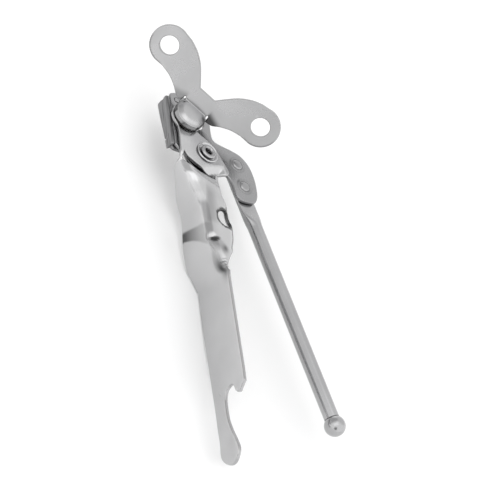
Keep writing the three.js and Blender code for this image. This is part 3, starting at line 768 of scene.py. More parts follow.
@dataclass
class SheetHandle:
    """The head plate and folded handle, one sheet from the axle's ear to the spoon tail.

    The flat pattern keeps X and Y on the head plate. Down the handle its first coordinate is
    measured round the bent sheet, from the lip's free edge through the flange to the web's edge.
    """

    length: float = 135.6
    web_depth: float = 19.8
    web_start: float = 57.0
    web_rise: float = 1.3
    web_top: float = 2.2
    web_bend: float = 7.6
    lip_bend: float = 8.0
    lip_turn: float = 78.0
    lip_full: float = 3.0
    fold_top: float = -3.0
    fold_reach: float = 4.0
    ear_r: float = 6.8
    hole_r: float = 4.0
    hole_at: Pair = (5.8, -30.8)
    dish_depth: float = 0.9
    stations: tuple[Station, ...] = (
        Station(-6.5, 0, 15.4, 4.4, -12.6), Station(-9, 0, 15.4, 5.6, -12.2),
        Station(-14, 0, 12.6, 8.6, -10.2), Station(-20, 0.4, 10.8, 12.2, -7.6),
        Station(-26, 2.4, 10.4, 13.6, -5.2), Station(-32, 3.2, 11.6, 14.8, -4.6),
        Station(-38, 3.2, 11.2, 15.8, -4.3), Station(-44, 2.0, 8.2, 17.2, -3.0),
        Station(-50, 0.3, 3.2, 19.0, 0.0), Station(-54, 0, 0.2, 19.8, 1.9),
        Station(-57, 0, -2.2, 22.0, 2.8), Station(-140, 0, -2.2, 22.0, 2.8),
    )
    dimple: Mound = Mound(-0.55, (-1.6, -41.6), (1.7, 1.3))
    swell: Mound = Mound(0.5, (1.2, -47.5), (2.6, 4.2))
    # The dark crest, the dark spot and the band's knots place painted shade and painted dark
    # reflections on the face.
    dark_crest: Mound = Mound(0.7, (1.0, -55.0), (1.6, 4.2))
    dark_spot: Mound = Mound(0.75, (3.1, -46.6), (1.2, 1.7))
    band_upper: tuple = ((-17, -13.5, -6.9, -2.5), (-30.8, -31.7, -33.6, -34.2))
    band_lower: tuple = ((-17, -15.8, -11.4, -7.3, -2.8, -1.1),
                         (-36.2, -36.7, -38.8, -41.3, -44.6, -48.9))
    band_depth: tuple = ((-16, -12, -7, -2, 1.5), (0.9, 0.62, 0.34, 0.22, 0.0))

    def __post_init__(self) -> None:
        """Work out how far the web's bend reaches across, and start the table of sections."""
        steps = 400
        turns = [math.pi / 2 * smooth((k + 0.5) / steps) for k in range(steps)]
        self.bend_run = sum(math.cos(t) for t in turns) * self.web_bend / steps
        self.offset = SHEET / 2 + self.bend_run - self.web_bend / 2
        self._sections: dict[float, tuple] = {}

    def station(self, y: float) -> tuple[float, float, float, float]:
        """Lip, flange, web and face at any distance, blended without overshoot."""
        y = min(y, self.stations[0].y)
        k = 0
        while k + 2 < len(self.stations) and y < self.stations[k + 1].y:
            k += 1
        last = len(self.stations) - 1
        near = [self.stations[i] for i in (max(k - 1, 0), k, k + 1, min(k + 2, last))]
        span = near[2].y - near[1].y
        t = (y - near[1].y) / span
        values = []
        for name in ("lip", "flange", "web", "face"):
            a, b, c, d = (getattr(s, name) for s in near)
            rise = [(b - a, near[1].y - near[0].y), (c - b, span), (d - c, near[3].y - near[2].y)]
            slopes = [dv / dy if dy else 0.0 for dv, dy in rise]
            enter = self._limited(slopes[0], slopes[1]) * span
            leave = self._limited(slopes[1], slopes[2]) * span
            values.append((2 * t ** 3 - 3 * t ** 2 + 1) * b + (t ** 3 - 2 * t ** 2 + t) * enter
                          + (3 * t ** 2 - 2 * t ** 3) * c + (t ** 3 - t ** 2) * leave)
        return tuple(values)

    @staticmethod
    def _limited(left: float, right: float) -> float:
        """A slope between two that never makes the blend overshoot."""
        return 0.0 if left * right <= 0 else 2 * left * right / (left + right)

    def right_edge(self, y: float) -> float:
        """Pattern place of the free edge of the lip."""
        lip, flange, _, face = self.station(y)
        return face + self.offset + lip + flange

    def left_edge(self, y: float) -> float:
        """Pattern place of the web's free edge."""
        _, _, web, face = self.station(y)
        edge = face + self.offset - web
        sunk = -self.web_depth - self.form(edge, y).z if y < -44 else 0.0
        return edge + max(0.0, sunk)

    def web_place(self, y: float, z: float) -> Pair:
        """Pattern place of a point given by its height on the plain web."""
        climb = self._climb(y)
        face = self.stations[-1].face
        return face + self.offset - self.web_top - (climb - z), y

    def _climb(self, y: float) -> float:
        """Climb of the web towards the tail."""
        share = max(0.0, -y - self.web_start) / (self.length - self.web_start)
        return self.web_rise * share

    def _heading(self, s: float, lip: float, flange: float, fold: float) -> float:
        """Direction of the sheet in its section, from the lip's free edge."""
        web_turn = 90 * fold * smooth((s - (lip + flange - self.web_bend / 2)) / self.web_bend)
        lip_turn = self.lip_turn * smooth(lip / self.lip_full)
        left = lip_turn * (1 - smooth((s - (lip - self.lip_bend / 2)) / self.lip_bend))
        return math.radians(180 + web_turn - left)

    def _section(self, y: float) -> tuple:
        """The table of one bent section, anchored on the flange."""
        key = round(y, 6)
        if key not in self._sections:
            lip, flange, web, face = self.station(y)
            fold = smooth((self.fold_top - y) / self.fold_reach)
            step = 0.2
            first = min(-1.0, lip + flange - self.web_bend / 2 - step)
            count = math.ceil((lip + flange + web + 1.0 - first) / step)
            grid = [first + step * k for k in range(count + 1)]
            xs, zs = [0.0], [0.0]
            for s in grid[:-1]:
                heading = self._heading(s + step / 2, lip, flange, fold)
                xs.append(xs[-1] + math.cos(heading) * step)
                zs.append(zs[-1] + math.sin(heading) * step)
            anchor = lip + flange - self.web_bend / 2
            shift_x = face + SHEET / 2 + self.bend_run - float(np.interp(anchor, grid, xs))
            headings = [self._heading(s, lip, flange, fold) for s in grid]
            tops = [z - SHEET / 2 * math.cos(h) for s, z, h in zip(grid, zs, headings)
                    if 0 <= s <= lip + flange + web]
            shift_z = self._climb(y) - max(tops)
            self._sections[key] = (grid, xs, zs, shift_x, shift_z, lip, flange, face, fold)
        return self._sections[key]

    def form(self, p: float, y: float) -> Vector:
        """Bend the pattern: where one point of the flat sheet ends up."""
        if y > self.fold_top:
            return Vector((p, y, -SHEET / 2 + self._head_relief(p, y)))
        grid, xs, zs, shift_x, shift_z, lip, flange, face, fold = self._section(y)
        s = lip + flange + face + self.offset - p
        k = min(max(bisect_right(grid, s) - 1, 0), len(grid) - 1)
        ahead = s - grid[k]
        heading = self._heading(grid[k] + ahead / 2, lip, flange, fold)
        x = xs[k] + math.cos(heading) * ahead + shift_x
        z = zs[k] + math.sin(heading) * ahead + shift_z
        relief = self._head_relief(p, y) + self._handle_relief(p, y)
        across = self._heading(s, lip, flange, fold)
        return Vector((x + relief * math.sin(across), y, z - relief * math.cos(across)))

    def _head_relief(self, x: float, y: float) -> float:
        """Pressed relief of the head plate: the facet bent down towards the slot."""
        crease = Vector((9.4, 3.6)).normalized()
        below = crease.x * (-7.7 - y) + crease.y * (x + 3.4)
        side = smooth((x + 4.6) / 3.0) * smooth((8.6 - x) / 3.0) * smooth((y + 11.4) / 0.8)
        return -0.55 * side * max(0.0, min(below, 3.0)) * smooth((y + 10.6) / 1.2)

    def _handle_relief(self, p: float, y: float) -> float:
        """Pressed relief of the handle: bead under the slot, thumb dimple and dished tail."""
        below_slot = 0.36 * (-8.2 - p) + 0.93 * (-9.2 - y)
        bead = 0.55 * bell((below_slot - 3.2) / 1.7) * smooth((p + 13) / 4)
        middle = self.web_place(y, -self.web_depth + 6.6)[0]
        across = (p - middle) / 5.4
        dish = -self.dish_depth * max(0.0, 1 - across ** 2) ** 1.5 * smooth((-117 - y) / 9)
        return bead + self.dimple.over(p, y) + self.swell.over(p, y) + dish

    def painted_shade(self, p: float, y: float) -> float:
        """Painted shade and painted dark reflections on the face: the knuckle's band, the fold's
        side, the dimple, the hole.

        They stand in for what the plate would mirror there and for the shade in the dimple and the
        hole, so they don't move with the view.
        """
        upper, lower, depth = (float(np.interp(p, *knots)) for knots in
                               (self.band_upper, self.band_lower, self.band_depth))
        band = depth * smooth((upper - y) / 1.4) * smooth((y - lower) / 0.7)
        beside = 0.34 * smooth((p + 2.9) / 0.7) * smooth((3.2 - p) / 4.5)
        beside *= smooth((-13 - y) / 9) * smooth((y + 37) / 4)
        crest = self.dark_crest.over(p, y)
        away = math.hypot(p + 0.6, y + 41.9)
        moon = 0.85 * smooth((2.1 - away) / 0.5) * smooth((-41.4 - y) / 0.5)
        spot = self.dark_spot.over(p, y)
        cheek = 0.3 * smooth((p + 2.2) / 1.2) * smooth((3.8 - p) / 3) * smooth((-42 - y) / 2)
        cheek *= smooth((y + 60) / 6)
        rim = math.dist((p, y), self.hole_at) - self.hole_r
        ring = 0.9 * smooth((1.25 - rim) / 0.35)
        return min(MOST_PAINTED_SHADE, max(band, beside, cheek) + crest + moon + spot + ring)

    def cut_edge_and_painted_shade(self, at: Pair, outward: Pair) -> float:
        """How dark the cut edge is: painted shade, darkest in the hanging hole and the slot, over
        the sheared metal's own darkening.
        """
        if math.dist(at, self.hole_at) < self.hole_r + 1.5:
            return 0.95
        in_slot = -14 < at[1] < -2 and -13.5 < at[0] < 4.5 and abs(outward[1]) > 0.5
        return 0.8 if in_slot else 0.3

    def outline(self) -> Loop:
        """The blanked outline of the whole sheet, anticlockwise in the pattern."""
        handle_ys = [-15.5 - 1.5 * k for k in range(28)]
        right = [(self.right_edge(y), y) for y in handle_ys]
        left = [(self.left_edge(y), y) for y in [-7.0 - 1.5 * k for k in range(34)]]
        tail = -self.length
        floor = -self.web_depth

        def web(points: Loop) -> Loop:
            """Points given from the tail and the web's lower edge, on the pattern."""
            return [self.web_place(tail + y, floor + z) for y, z in points]

        spoon = web(spline([(24, 2.0), (12, 2.0), (5.8, 1.8), (2.4, 3.4), (0.4, 6.4), (0.32, 9.6),
                            (1.8, 12.2), (4.4, 13.1), (8.0, 12.1), (13.2, 9.9), (20.0, 8.7),
                            (26.7, 8.6)], 8))
        notch = web(spline([(26.7, 8.6), (29.4, 9.6), (30.7, 11.7), (30.5, 13.8), (28.6, 14.9)]))
        top = self.web_depth + self.web_rise - 0.02
        lifter = fillet(web([(28.6, 14.9), (27.0, 15.3), (26.1, 16.1), (25.5, 17.5), (28.6, top),
                             (34.0, top)]), 0.5, closed=False)
        rise_ends = [self.web_place(y, self._climb(y) - 0.02) for y in (-58.5, -60.0, -64.0)]
        lower = [self.web_place(y, z) for y, z in
                 [(-59.0, floor - 0.08), (-64.0, floor), (-80, floor + 0.5), (-96, floor + 1.2)]]
        head = fillet([(3.7, -14.0), (4.2, -9.2), (5.0, -8.3), (9.2, -8.1), (10.2, -6.8),
                       (9.9, -5.0), (8.2, -1.8), (5.8, 2.2), (3.4, 5.2), (0.9, 7.1), (-1.3, 8.3)],
                      0.8, closed=False)
        ear = arc(AXLE_AT, self.ear_r, -50, 205, 40)
        flank = fillet([(-12.9, 9.6), (-12.6, 6.5), (-12.8, 0.6), (-12.9, -3.0), (-12.8, -5.4),
                        (-15.4, -6.6)], 0.5, closed=False)
        down = left + lower + spoon[1:] + notch[1:] + lifter[1:]
        up = rise_ends[::-1] + right[::-1] + head[1:] + ear + flank
        return down + up

    def holes(self) -> list[Loop]:
        """The slot, the hanging hole and the two bearing holes."""
        upper = spline([(-11.2, -2.8), (-9.2, -5.2), (-5.4, -7.6), (-1.2, -9.2), (3.0, -10.1)], 5)
        lower = spline([(2.4, -12.5), (-2.2, -11.8), (-6.8, -10.1), (-10.4, -7.2),
                        (-11.7, -4.6)], 5)
        return [
            upper + lower,
            circle(self.hole_at, self.hole_r, 48),
            circle((0, 0), PIVOT_R + FIT_GAP, 36),
            circle(AXLE_AT, COLLAR_R + FIT_GAP, 36),
        ]

    def build(self, shop: Workshop) -> None:
        """Make the sheet."""
        sheet = Sheet(self.outline(), self.form, holes=self.holes(), grid=0.62, spacing=0.5,
                      cut_edge_and_painted_shade=self.cut_edge_and_painted_shade, painted_shade=self.painted_shade)
        shop.piece("frame_sheet", sheet.skin(), FRAME_PLATE, Body.FRAME,
                   ("frame_handle",))


# ---------------------------------------------------------------- pivot and axle stack


def ring_profile(inner: float, outer: float, low: float, high: float, round_r: float) -> Loop:
    """A washer's section with rounded corners."""
    return fillet([(inner, low), (outer, low), (outer, high), (inner, high)], round_r)


@dataclass
class PivotJoint:
    """The hollow rivet that joins the two halves, its dished washer and its back washer."""

    bore_r: float = 1.5
    roll_r: float = 3.3
    washer_r: float = 4.9

    def eyelet_profile(self) -> Loop:
        """Section of the tube with both ends rolled over."""
        top = WASHER + PLATE_GAP
        tail = LEVER_BOTTOM - WASHER - 2 * PLATE_GAP
        roll = spline([(PIVOT_R, top - 0.2), (PIVOT_R + 0.5, top), (self.roll_r - 0.1, top + 0.15),
                       (self.roll_r, top + 0.55), (PIVOT_R + 0.35, top + 0.95),
                       (self.bore_r + 0.35, top + 0.75), (self.bore_r, top + 0.1)], 6)
        foot = spline([(self.bore_r, tail - 0.35), (self.bore_r + 0.3, tail - 0.75),
                       (self.roll_r - 0.3, tail - 0.75), (self.roll_r + 0.1, tail - 0.35),
                       (self.roll_r - 0.2, tail - 0.02), (PIVOT_R, tail)], 5)
        return foot + roll

    def dished_profile(self) -> Loop:
        """Section of the top washer: flat inside, with a raised, rolled outer ring."""
        low = PLATE_GAP / 2
        inner = PIVOT_R + FIT_GAP
        lip = self.washer_r
        return fillet([(inner, low), (lip - 0.2, low), (lip, low + 0.25), (lip - 0.05, low + 0.62),
                       (lip - 0.35, low + 0.8), (lip - 0.75, low + 0.62), (lip - 1.15, low + 0.3),
                       (inner, low + 0.3)], 0.14)

    def build(self, shop: Workshop) -> None:
        """Make the rivet and its washers."""
        centre = Vector((0, 0, 0))
        rivet = turned(self.eyelet_profile(), centre, UP, 72, 80)
        shop.piece("pivot_rivet", rivet, RIVET_PLATE, Body.FRAME, ("pivot_eyelet",))
        dished = turned(self.dished_profile(), centre, UP, 72, 60)
        shop.piece("pivot_dished_washer", dished, FRAME_PLATE, Body.FRAME,
                   ("pivot_top_washer",))
        top = LEVER_BOTTOM - PLATE_GAP
        back = turned(ring_profile(PIVOT_R + FIT_GAP, self.washer_r, top - WASHER, top, 0.15),
                      centre, UP, 64)
        shop.piece("pivot_plain_washer", back, RIVET_PLATE, Body.FRAME,
                   ("pivot_back_washer",))


@dataclass
class DriveTrain:
    """Axle, bush, washers and the toothed wheel that the key turns."""

    wheel_r: float = 5.0
    tooth: float = 0.75
    teeth: int = 22
    wheel_thickness: float = 3.4
    square: float = 1.5
    tab_bottom: float = 1.1

    def __post_init__(self) -> None:
        """Stack the heights from the lever down."""
        self.at = Vector((*AXLE_AT, 0))
        self.thrust_top = LEVER_BOTTOM - PLATE_GAP
        self.wheel_top = self.thrust_top - WASHER - PLATE_GAP / 3
        self.wheel_bottom = self.wheel_top - self.wheel_thickness
        self.head_top = self.wheel_bottom - WASHER - 2 * PLATE_GAP / 3

    def ring(self, inner: float, outer: float, low: float, high: float) -> Skin:
        """A turned ring on the axle."""
        return turned(ring_profile(inner, outer, low, high, 0.12), self.at, UP)

    def square_hole(self) -> Loop:
        """The square hole that the axle drives."""
        half = self.square + FIT_GAP
        x, y = AXLE_AT
        return fillet([(x - half, y - half), (x + half, y - half), (x + half, y + half),
                       (x - half, y + half)], 0.2)

    def wheel_disc(self) -> Skin:
        """The toothed rim, its teeth pressed with soft tips."""
        pitch = 360 / self.teeth
        root = self.wheel_r - self.tooth
        loop = []
        for i in range(self.teeth):
            loop += arc(AXLE_AT, root, i * pitch, (i + 0.22) * pitch, 2)
            loop += arc(AXLE_AT, self.wheel_r, (i + 0.5) * pitch, (i + 0.72) * pitch, 2)
        low = self.wheel_bottom + 1.25
        sheet = Sheet(fillet(loop, 0.1, steps=2), level((low + self.wheel_top) / 2),
                      self.wheel_top - low, [self.square_hole()], 0.18, 0.8, 0.3)
        return sheet.skin()

    def wheel_hub(self) -> Skin:
        """The boss under the teeth."""
        low, high = self.wheel_bottom, self.wheel_bottom + 1.22
        sheet = Sheet(circle(AXLE_AT, self.wheel_r - 2 * self.tooth, 56),
                      level((low + high) / 2), high - low,
                      [self.square_hole()], 0.22, 0.8, 0.4)
        return sheet.skin()

    def axle(self) -> Skin:
        """The axle: shank, shoulder and the end riveted over the wheel washer."""
        head = self.head_top
        profile = fillet([(0.0, head - 1.2), (1.7, head - 1.15), (2.7, head - 0.75), (3.0, head),
                          (self.square, head), (self.square, self.wheel_top + 0.1),
                          (AXLE_R, self.wheel_top + 0.1), (AXLE_R, self.tab_bottom + 1.0),
                          (0.0, self.tab_bottom + 1.0)], 0.18, closed=False)
        return turned(profile, self.at, UP, 56, 40)

    def build(self, shop: Workshop) -> None:
        """Make the axle stack."""
        bore = AXLE_R + FIT_GAP
        thrust = self.thrust_top
        rings = [
            ("bush", self.ring(bore, COLLAR_R, -SHEET, 0), Body.FRAME, "axle_bush"),
            ("spring_cup", turned(fillet([(bore, 0.45), (5.4, 0.15), (5.4, 0.45), (bore, 0.65)],
                                         0.08), self.at, UP), Body.KEY, "spring_washer"),
            ("collar", self.ring(bore, COLLAR_R, thrust + PLATE_GAP / 3, -SHEET - PLATE_GAP / 2),
             Body.KEY, "spacer_collar"),
            ("thrust_ring", self.ring(bore, COLLAR_R + 1.3, thrust - WASHER, thrust),
             Body.KEY, "thrust_washer"),
            ("end_washer", self.ring(self.square + FIT_GAP, self.wheel_r - self.tooth - 0.6,
                                     self.head_top + PLATE_GAP / 3,
                                     self.head_top + PLATE_GAP / 3 + WASHER),
             Body.KEY, "wheel_washer"),
        ]
        for name, skin, body, node in rings:
            shop.piece(name, skin, WHEEL_STEEL, body, (node,))
        shop.piece("axle", self.axle(), WHEEL_STEEL, Body.KEY, ("drive_axle",))
        shop.piece("toothed_disc", self.wheel_disc(), WHEEL_STEEL, Body.KEY,
                   ("feed_wheel",))
        shop.piece("wheel_boss", self.wheel_hub(), WHEEL_STEEL, Body.KEY)


# ---------------------------------------------------------------- wing key


@dataclass
class WingKey:
    """The blanked key: two holed wings, folded over to a domed tab on the axle.

    In its pattern u runs along the fold and v up the wings. The tab lies below the fold.
    """

    thickness: float = 2.2
    hole_r: float = 3.95
    hole_spread: float = 24.6
    hole_rise: float = 12.1
    lobe_r: float = 8.27
    bar_half: float = 3.8
    bar_rise: float = 7.5
    turn: float = -32.5
    lean: float = 66.8
    fold_reach: float = 4.8
    fold_height: float = 2.8
    fold_r: float = 1.7
    tab_r: float = 6.8
    tab_middle: float = 2.05
    neck_half: float = 6.0
    relief: float = 0.38
    tab_shoulder: float = -2.15
    dome: float = 1.05
    dome_side: float = 2.6

    def __post_init__(self) -> None:
        """Set the key's directions and the tangent points of its fold."""
        turn, lean = math.radians(self.turn), math.radians(self.lean)
        self.along = Vector((math.cos(turn), math.sin(turn), 0))
        self.back = Vector((-self.along.y, self.along.x, 0))
        self.up = self.back * math.cos(lean) + UP * math.sin(lean)
        self.front = self.along.cross(self.up)
        self.axle = Vector((*AXLE_AT, 0))
        face = self.axle + self.back * self.fold_reach + UP * self.fold_height
        self.wing_zero = face - self.front * self.thickness / 2
        corner = (self.tab_middle - self.wing_zero.z) / math.sin(lean)
        tangent = self.fold_r * math.tan(lean / 2)
        self.bend_top = corner + tangent
        self.bend_length = self.fold_r * lean
        self.corner_reach = (self.wing_zero + self.up * corner - self.axle).dot(self.back)
        self.tab_edge_reach = self.corner_reach - tangent
        self.tab_centre_v = self.bend_top - self.bend_length - self.tab_edge_reach

    def form(self, u: float, v: float) -> Vector:
        """Bend the pattern along the fold and press the dome."""
        on_tab = abs(u) < self.neck_half or v < self.tab_shoulder
        if v >= self.bend_top or not on_tab:
            return self.wing_zero + self.along * u + self.up * v - self.front * self._sway(u)
        past = self.bend_top - v
        if past < self.bend_length:
            left = math.radians(self.lean) - past / self.fold_r
            reach = self.tab_edge_reach + self.fold_r * math.sin(left)
            height = self.tab_middle + self.fold_r * (1 - math.cos(left))
        else:
            reach = self.tab_edge_reach - (past - self.bend_length)
            height = self.tab_middle
        dome = self._dome(u, v)
        return self.axle + self.along * u + self.back * reach + UP * (height + dome)

    def _dome(self, u: float, v: float) -> float:
        """Height of the pressed dome over the tab."""
        inward = self.tab_r - 0.55 - math.hypot(u, (v - self.tab_centre_v) * 0.98)
        crown = 0.3 * smooth(inward / 6.0)
        fold_side = smooth((self.bend_top - self.bend_length - 0.2 - v) / 1.6)
        return (self.dome * smooth(inward / self.dome_side) + crown) * fold_side

    @staticmethod
    def _sway(u: float) -> float:
        """A slight backward roll of the wings' outer ends."""
        return 0.2 * smooth((abs(u) - 15) / 16) ** 2

    def outline(self) -> Loop:
        """The blanked outline, anticlockwise."""
        hole = (self.hole_spread, self.hole_rise)
        upper = spline([(self.bar_half, self.bar_rise), (7.0, 11.3), (10.4, 14.9), (14.8, 17.9),
                        (19.2, 19.6)], 6)
        lobe = arc(hole, self.lobe_r, 106, -84, 40)
        notch = self.neck_half + self.relief
        lower = spline([(21.0, 3.9), (16.6, 2.9), (12.6, 1.0), (9.6, -1.0),
                        (notch + 0.15, -1.5)], 6)
        slit = arc((self.neck_half, self.bend_top - 0.1), self.relief, 0, 180, 8)
        bottom = self.tab_centre_v
        tab = [(self.tab_r * math.cos(a), bottom + self.tab_r * math.sin(a))
               for a in (math.radians(28 - 118 * k / 20) for k in range(21))]
        neck = [(self.neck_half - self.relief, self.bend_top - 2.4)]
        right = upper + lobe + lower + slit + neck + tab[:-1]
        left = [(-u, v) for u, v in reversed(right)]
        return fillet((right + [tab[-1]] + left)[::-1], 0.35, steps=3)

    def painted_shade(self, u: float, v: float) -> float:
        """Painted shade and painted dark reflections in the roots of the wings, along the fold,
        round the dome's foot and under the lobes.

        They stand in for what the plate would mirror there and for the shade there, so they don't
        move with the view.
        """
        side = abs(u)
        root = (0.92 if u > 0 else 0.4) * smooth((side - self.neck_half + 0.5) / 0.6)
        root *= smooth((17.0 - side) / 7) * smooth((6.0 - v - 0.3 * side) / 3.2)
        past = self.bend_top - v
        fold = 0.45 * bell((past - 0.5) / 0.7) if side < self.neck_half else 0.0
        inward = self.tab_r - math.hypot(u, v - self.tab_centre_v)
        foot = 0.15 * bell((inward - 1.0) / 0.45) if past > self.bend_length else 0.0
        edge = math.hypot(side - self.hole_spread, v - self.hole_rise) - self.lobe_r + 0.75
        under = 0.6 * smooth(edge / 0.5) * smooth((self.hole_rise + 2 - v) / 5)
        return min(0.92, root + fold + foot + under * smooth((side - 22) / 2))

    def cut_edge_and_painted_shade(self, at: Pair, outward: Pair) -> float:
        """How dark the cut edge is: painted shade, most in the slits beside the neck, then on the
        wings' downward edges, over the sheared metal's own darkening.
        """
        if abs(abs(at[0]) - self.neck_half) < 1.0 and at[1] < self.bend_top + 0.8:
            return 0.95
        if at[1] < self.bend_top - 0.5:
            return 0.3
        return 0.9 if outward[1] < -0.3 else 0.45

    def build(self, shop: Workshop) -> None:
        """Make the key."""
        eyes = [circle((side * self.hole_spread, self.hole_rise), self.hole_r, 48)
                for side in (-1, 1)]
        sheet = Sheet(self.outline(), self.form, self.thickness, eyes, 0.36, 0.5, 0.35, 5,
                      self.cut_edge_and_painted_shade, self.painted_shade)
        shop.piece("key_blank", sheet.skin(), KEY_PLATE, Body.KEY, ("wing_key",))


# ---------------------------------------------------------------- lever


@dataclass
class LeverPalm:
    """The lever plate with its palm, the rivets that hold the rod, and the cutter."""

    left: float = -14.0
    lobe_r: float = 10.2
    cutter_start: float = 0.8
    cutter_end: float = 26.0
    cutter_depth: float = 7.0
    cutter_front_depth: float = 4.6
    cutter_bevel: float = 1.4
    rod_rivets: tuple[Pair, ...] = ((16.4, 1.4), (18.7, -9.0))
    cutter_rivets: tuple[Pair, ...] = ((-10.0, 4.6), (-10.6, 25.0))
    shank_r: float = 1.5
    head_r: float = 2.3
    cutter_rivet_r: float = 1.1
    cutter_head_r: float = 1.8
    foot_reach: float = 2.2
    swing: Pair = (-3, 20)

    def outline(self) -> Loop:
        """The blanked outline of the lever plate."""
        palm = spline([(5.0, 17.6), (5.1, 12.0), (6.4, 9.6), (10.4, 8.8), (15.2, 8.1), (19.2, 6.7),
                       (22.6, 3.2), (24.6, -2.4), (25.2, -8.4), (24.8, -12.6), (23.2, -15.6),
                       (20.0, -16.6), (15.8, -16.6), (13.8, -14.4), (12.6, -9.4), (10.8, -6.6),
                       (7.8, -6.4)], 5)
        pivot_side = arc((0, 0), self.lobe_r, -72, -164, 20)
        rest = [(self.left, self.cutter_start + 0.2),
                (self.left, self.cutter_end + 0.4), (-13.4, 27.8), (-11.4, 28.8), (-8.6, 28.8),
                (-4.6, 27.4), (1.0, 23.4), (4.0, 20.2)]
        return fillet(palm[:-1] + pivot_side + rest, 0.8)

    def sweep(self) -> Loop:
        """The slot that clears the axle as the lever swings."""
        radius = math.hypot(*AXLE_AT)
        rest = math.degrees(math.atan2(AXLE_AT[1], AXLE_AT[0]))
        wide = COLLAR_R + 2 * PLATE_GAP
        first, last = rest - self.swing[1] - 1, rest - self.swing[0] + 1
        first_end = arc((0, 0), radius, first, first, 1)[0]
        last_end = arc((0, 0), radius, last, last, 1)[0]
        return (arc((0, 0), radius + wide, first, last, 10)
                + arc(last_end, wide, last, last + 180, 16)[1:-1]
                + arc((0, 0), radius - wide, last, first, 10)
                + arc(first_end, wide, first + 180, first + 360, 16)[1:-1])

    def plate_form(self, x: float, y: float) -> Vector:
        """The plate with soft collars pressed up round the rod's rivets."""
        lift = 0.0
        for at in self.rod_rivets:
            away = math.dist((x, y), at)
            lift += 0.24 * bell((away - self.head_r - 0.45) / 0.45)
        return Vector((x, y, (LEVER_TOP + LEVER_BOTTOM) / 2 + lift))

    def painted_shade(self, x: float, y: float) -> float:
        """Painted shade under the slot round the pivot, and painted shade rings round the rod's
        rivets.
        """
        away = math.hypot(x, y)
        under = 0.95 * smooth((away - 7.0) / 0.6) * smooth((9.9 - away) / 0.3) if y < 1 else 0.0
        for at in self.rod_rivets:
            away = math.dist((x, y), at)
            under += 0.7 * bell((away - self.head_r - 0.05) / 0.28)
            under += 0.35 * bell((away - self.head_r - 1.15) / 0.25)
        return min(MOST_PAINTED_SHADE, under)

    def cutter_ring(self, y: float, shrink: float) -> list[Vector]:
        """Section of the cutter wall at one place along it, with ground steps down its face."""
        share = smooth((y - self.cutter_start) / (self.cutter_end - self.cutter_start))
        depth = self.cutter_front_depth + (self.cutter_depth - self.cutter_front_depth) * share
        inner = self.left - PLATE_GAP / 3
        outer = inner - SHEET
        top = LEVER_TOP - PLATE_GAP / 3
        low = top - depth
        section = [(outer + 0.45, top), (inner, top),
                   (inner, low + self.cutter_bevel), (outer + 0.5, low), (outer + 0.1, low + 0.4),
                   (outer + 0.1, top - 0.62 * depth),
                   (outer + 0.32, top - 0.58 * depth), (outer + 0.32, top - 0.36 * depth),
                   (outer, top - 0.31 * depth), (outer, top - 0.35)]
        middle = Vector((sum(p[0] for p in section), sum(p[1] for p in section))) / len(section)
        ring = []
        for x, z in divided(fillet(section, 0.2, steps=3), 0.8):
            at = middle + (Vector((x, z)) - middle) * shrink
            ring.append(Vector((at.x, y, at.y)))
        return ring

    def cutter_wall(self) -> Skin:
        """The upright wall of the cutter, its ends rounded over."""
        ends = [(0.0, 0.80), (0.12, 0.90), (0.3, 0.96), (0.6, 1.0)]
        stations = [(self.cutter_start + d, s) for d, s in ends]
        inner_ys = np.linspace(self.cutter_start + 1.5, self.cutter_end - 1.5, 18)
        stations += [(float(y), 1.0) for y in inner_ys]
        stations += [(self.cutter_end - d, s) for d, s in reversed(ends)]
        first = self.cutter_ring(stations[0][0], 1.0)
        rings = []
        for y, shrink in stations:
            ring = self.cutter_ring(y, shrink)
            rings.append(ring if len(ring) == len(first) else self._matched(ring, len(first)))
        return lofted(rings, 40)

    @staticmethod
    def _matched(ring: list[Vector], count: int) -> list[Vector]:
        """The ring resampled evenly to a count of points."""
        closed = ring + ring[:1]
        steps = [0.0]
        for a, b in zip(closed, closed[1:]):
            steps.append(steps[-1] + (b - a).length)
        places = np.linspace(0, steps[-1], count + 1)[:-1]
        return [Vector([float(np.interp(p, steps, [c[k] for c in closed])) for k in range(3)])
                for p in places]

    def cutter_tabs(self) -> list[tuple[str, Skin]]:
        """The two feet that fasten the cutter under the lever plate."""
        outer = self.left - PLATE_GAP / 3 - SHEET
        top = LEVER_BOTTOM - PLATE_GAP / 3
        front, rear = self.cutter_rivets
        wide = self.foot_reach
        spans = {"front": (self.cutter_start - 1.3, front[0] + wide, front[1] + wide, front),
                 "rear": (rear[1] - wide, rear[0] + wide, self.cutter_end + 1.0, rear)}
        feet = []
        for end, (start, reach, stop, rivet) in spans.items():
            loop = fillet([(outer + 0.6, start), (reach, start), (reach, stop),
                           (outer + 0.6, stop)], 1.7)
            sheet = Sheet(loop, level(top - SHEET / 2), SHEET,
                          [circle(rivet, self.cutter_rivet_r + FIT_GAP, 24)], 0.5, 1.2, 0.6)
            feet.append((f"cutter_foot_{end}", sheet.skin()))
        return feet

    def rivet(self, shank: float, head: float, rise: float, top: float, low: float,
              at: Pair) -> Skin:
        """A rivet with a soft low head at both ends."""
        crown = [(head, 0.12), (head - 0.12, 0.5), (0.72 * head, 0.86), (0.4 * head, 0.98), (0, 1)]
        upper = [(r, top + rise * h) for r, h in crown]
        lower = [(r, low - rise * h) for r, h in reversed(crown)]
        profile = lower + [(head, low), (shank, low), (shank, top), (head, top)] + upper
        return turned(profile, Vector((*at, 0)), UP, 48, 50)

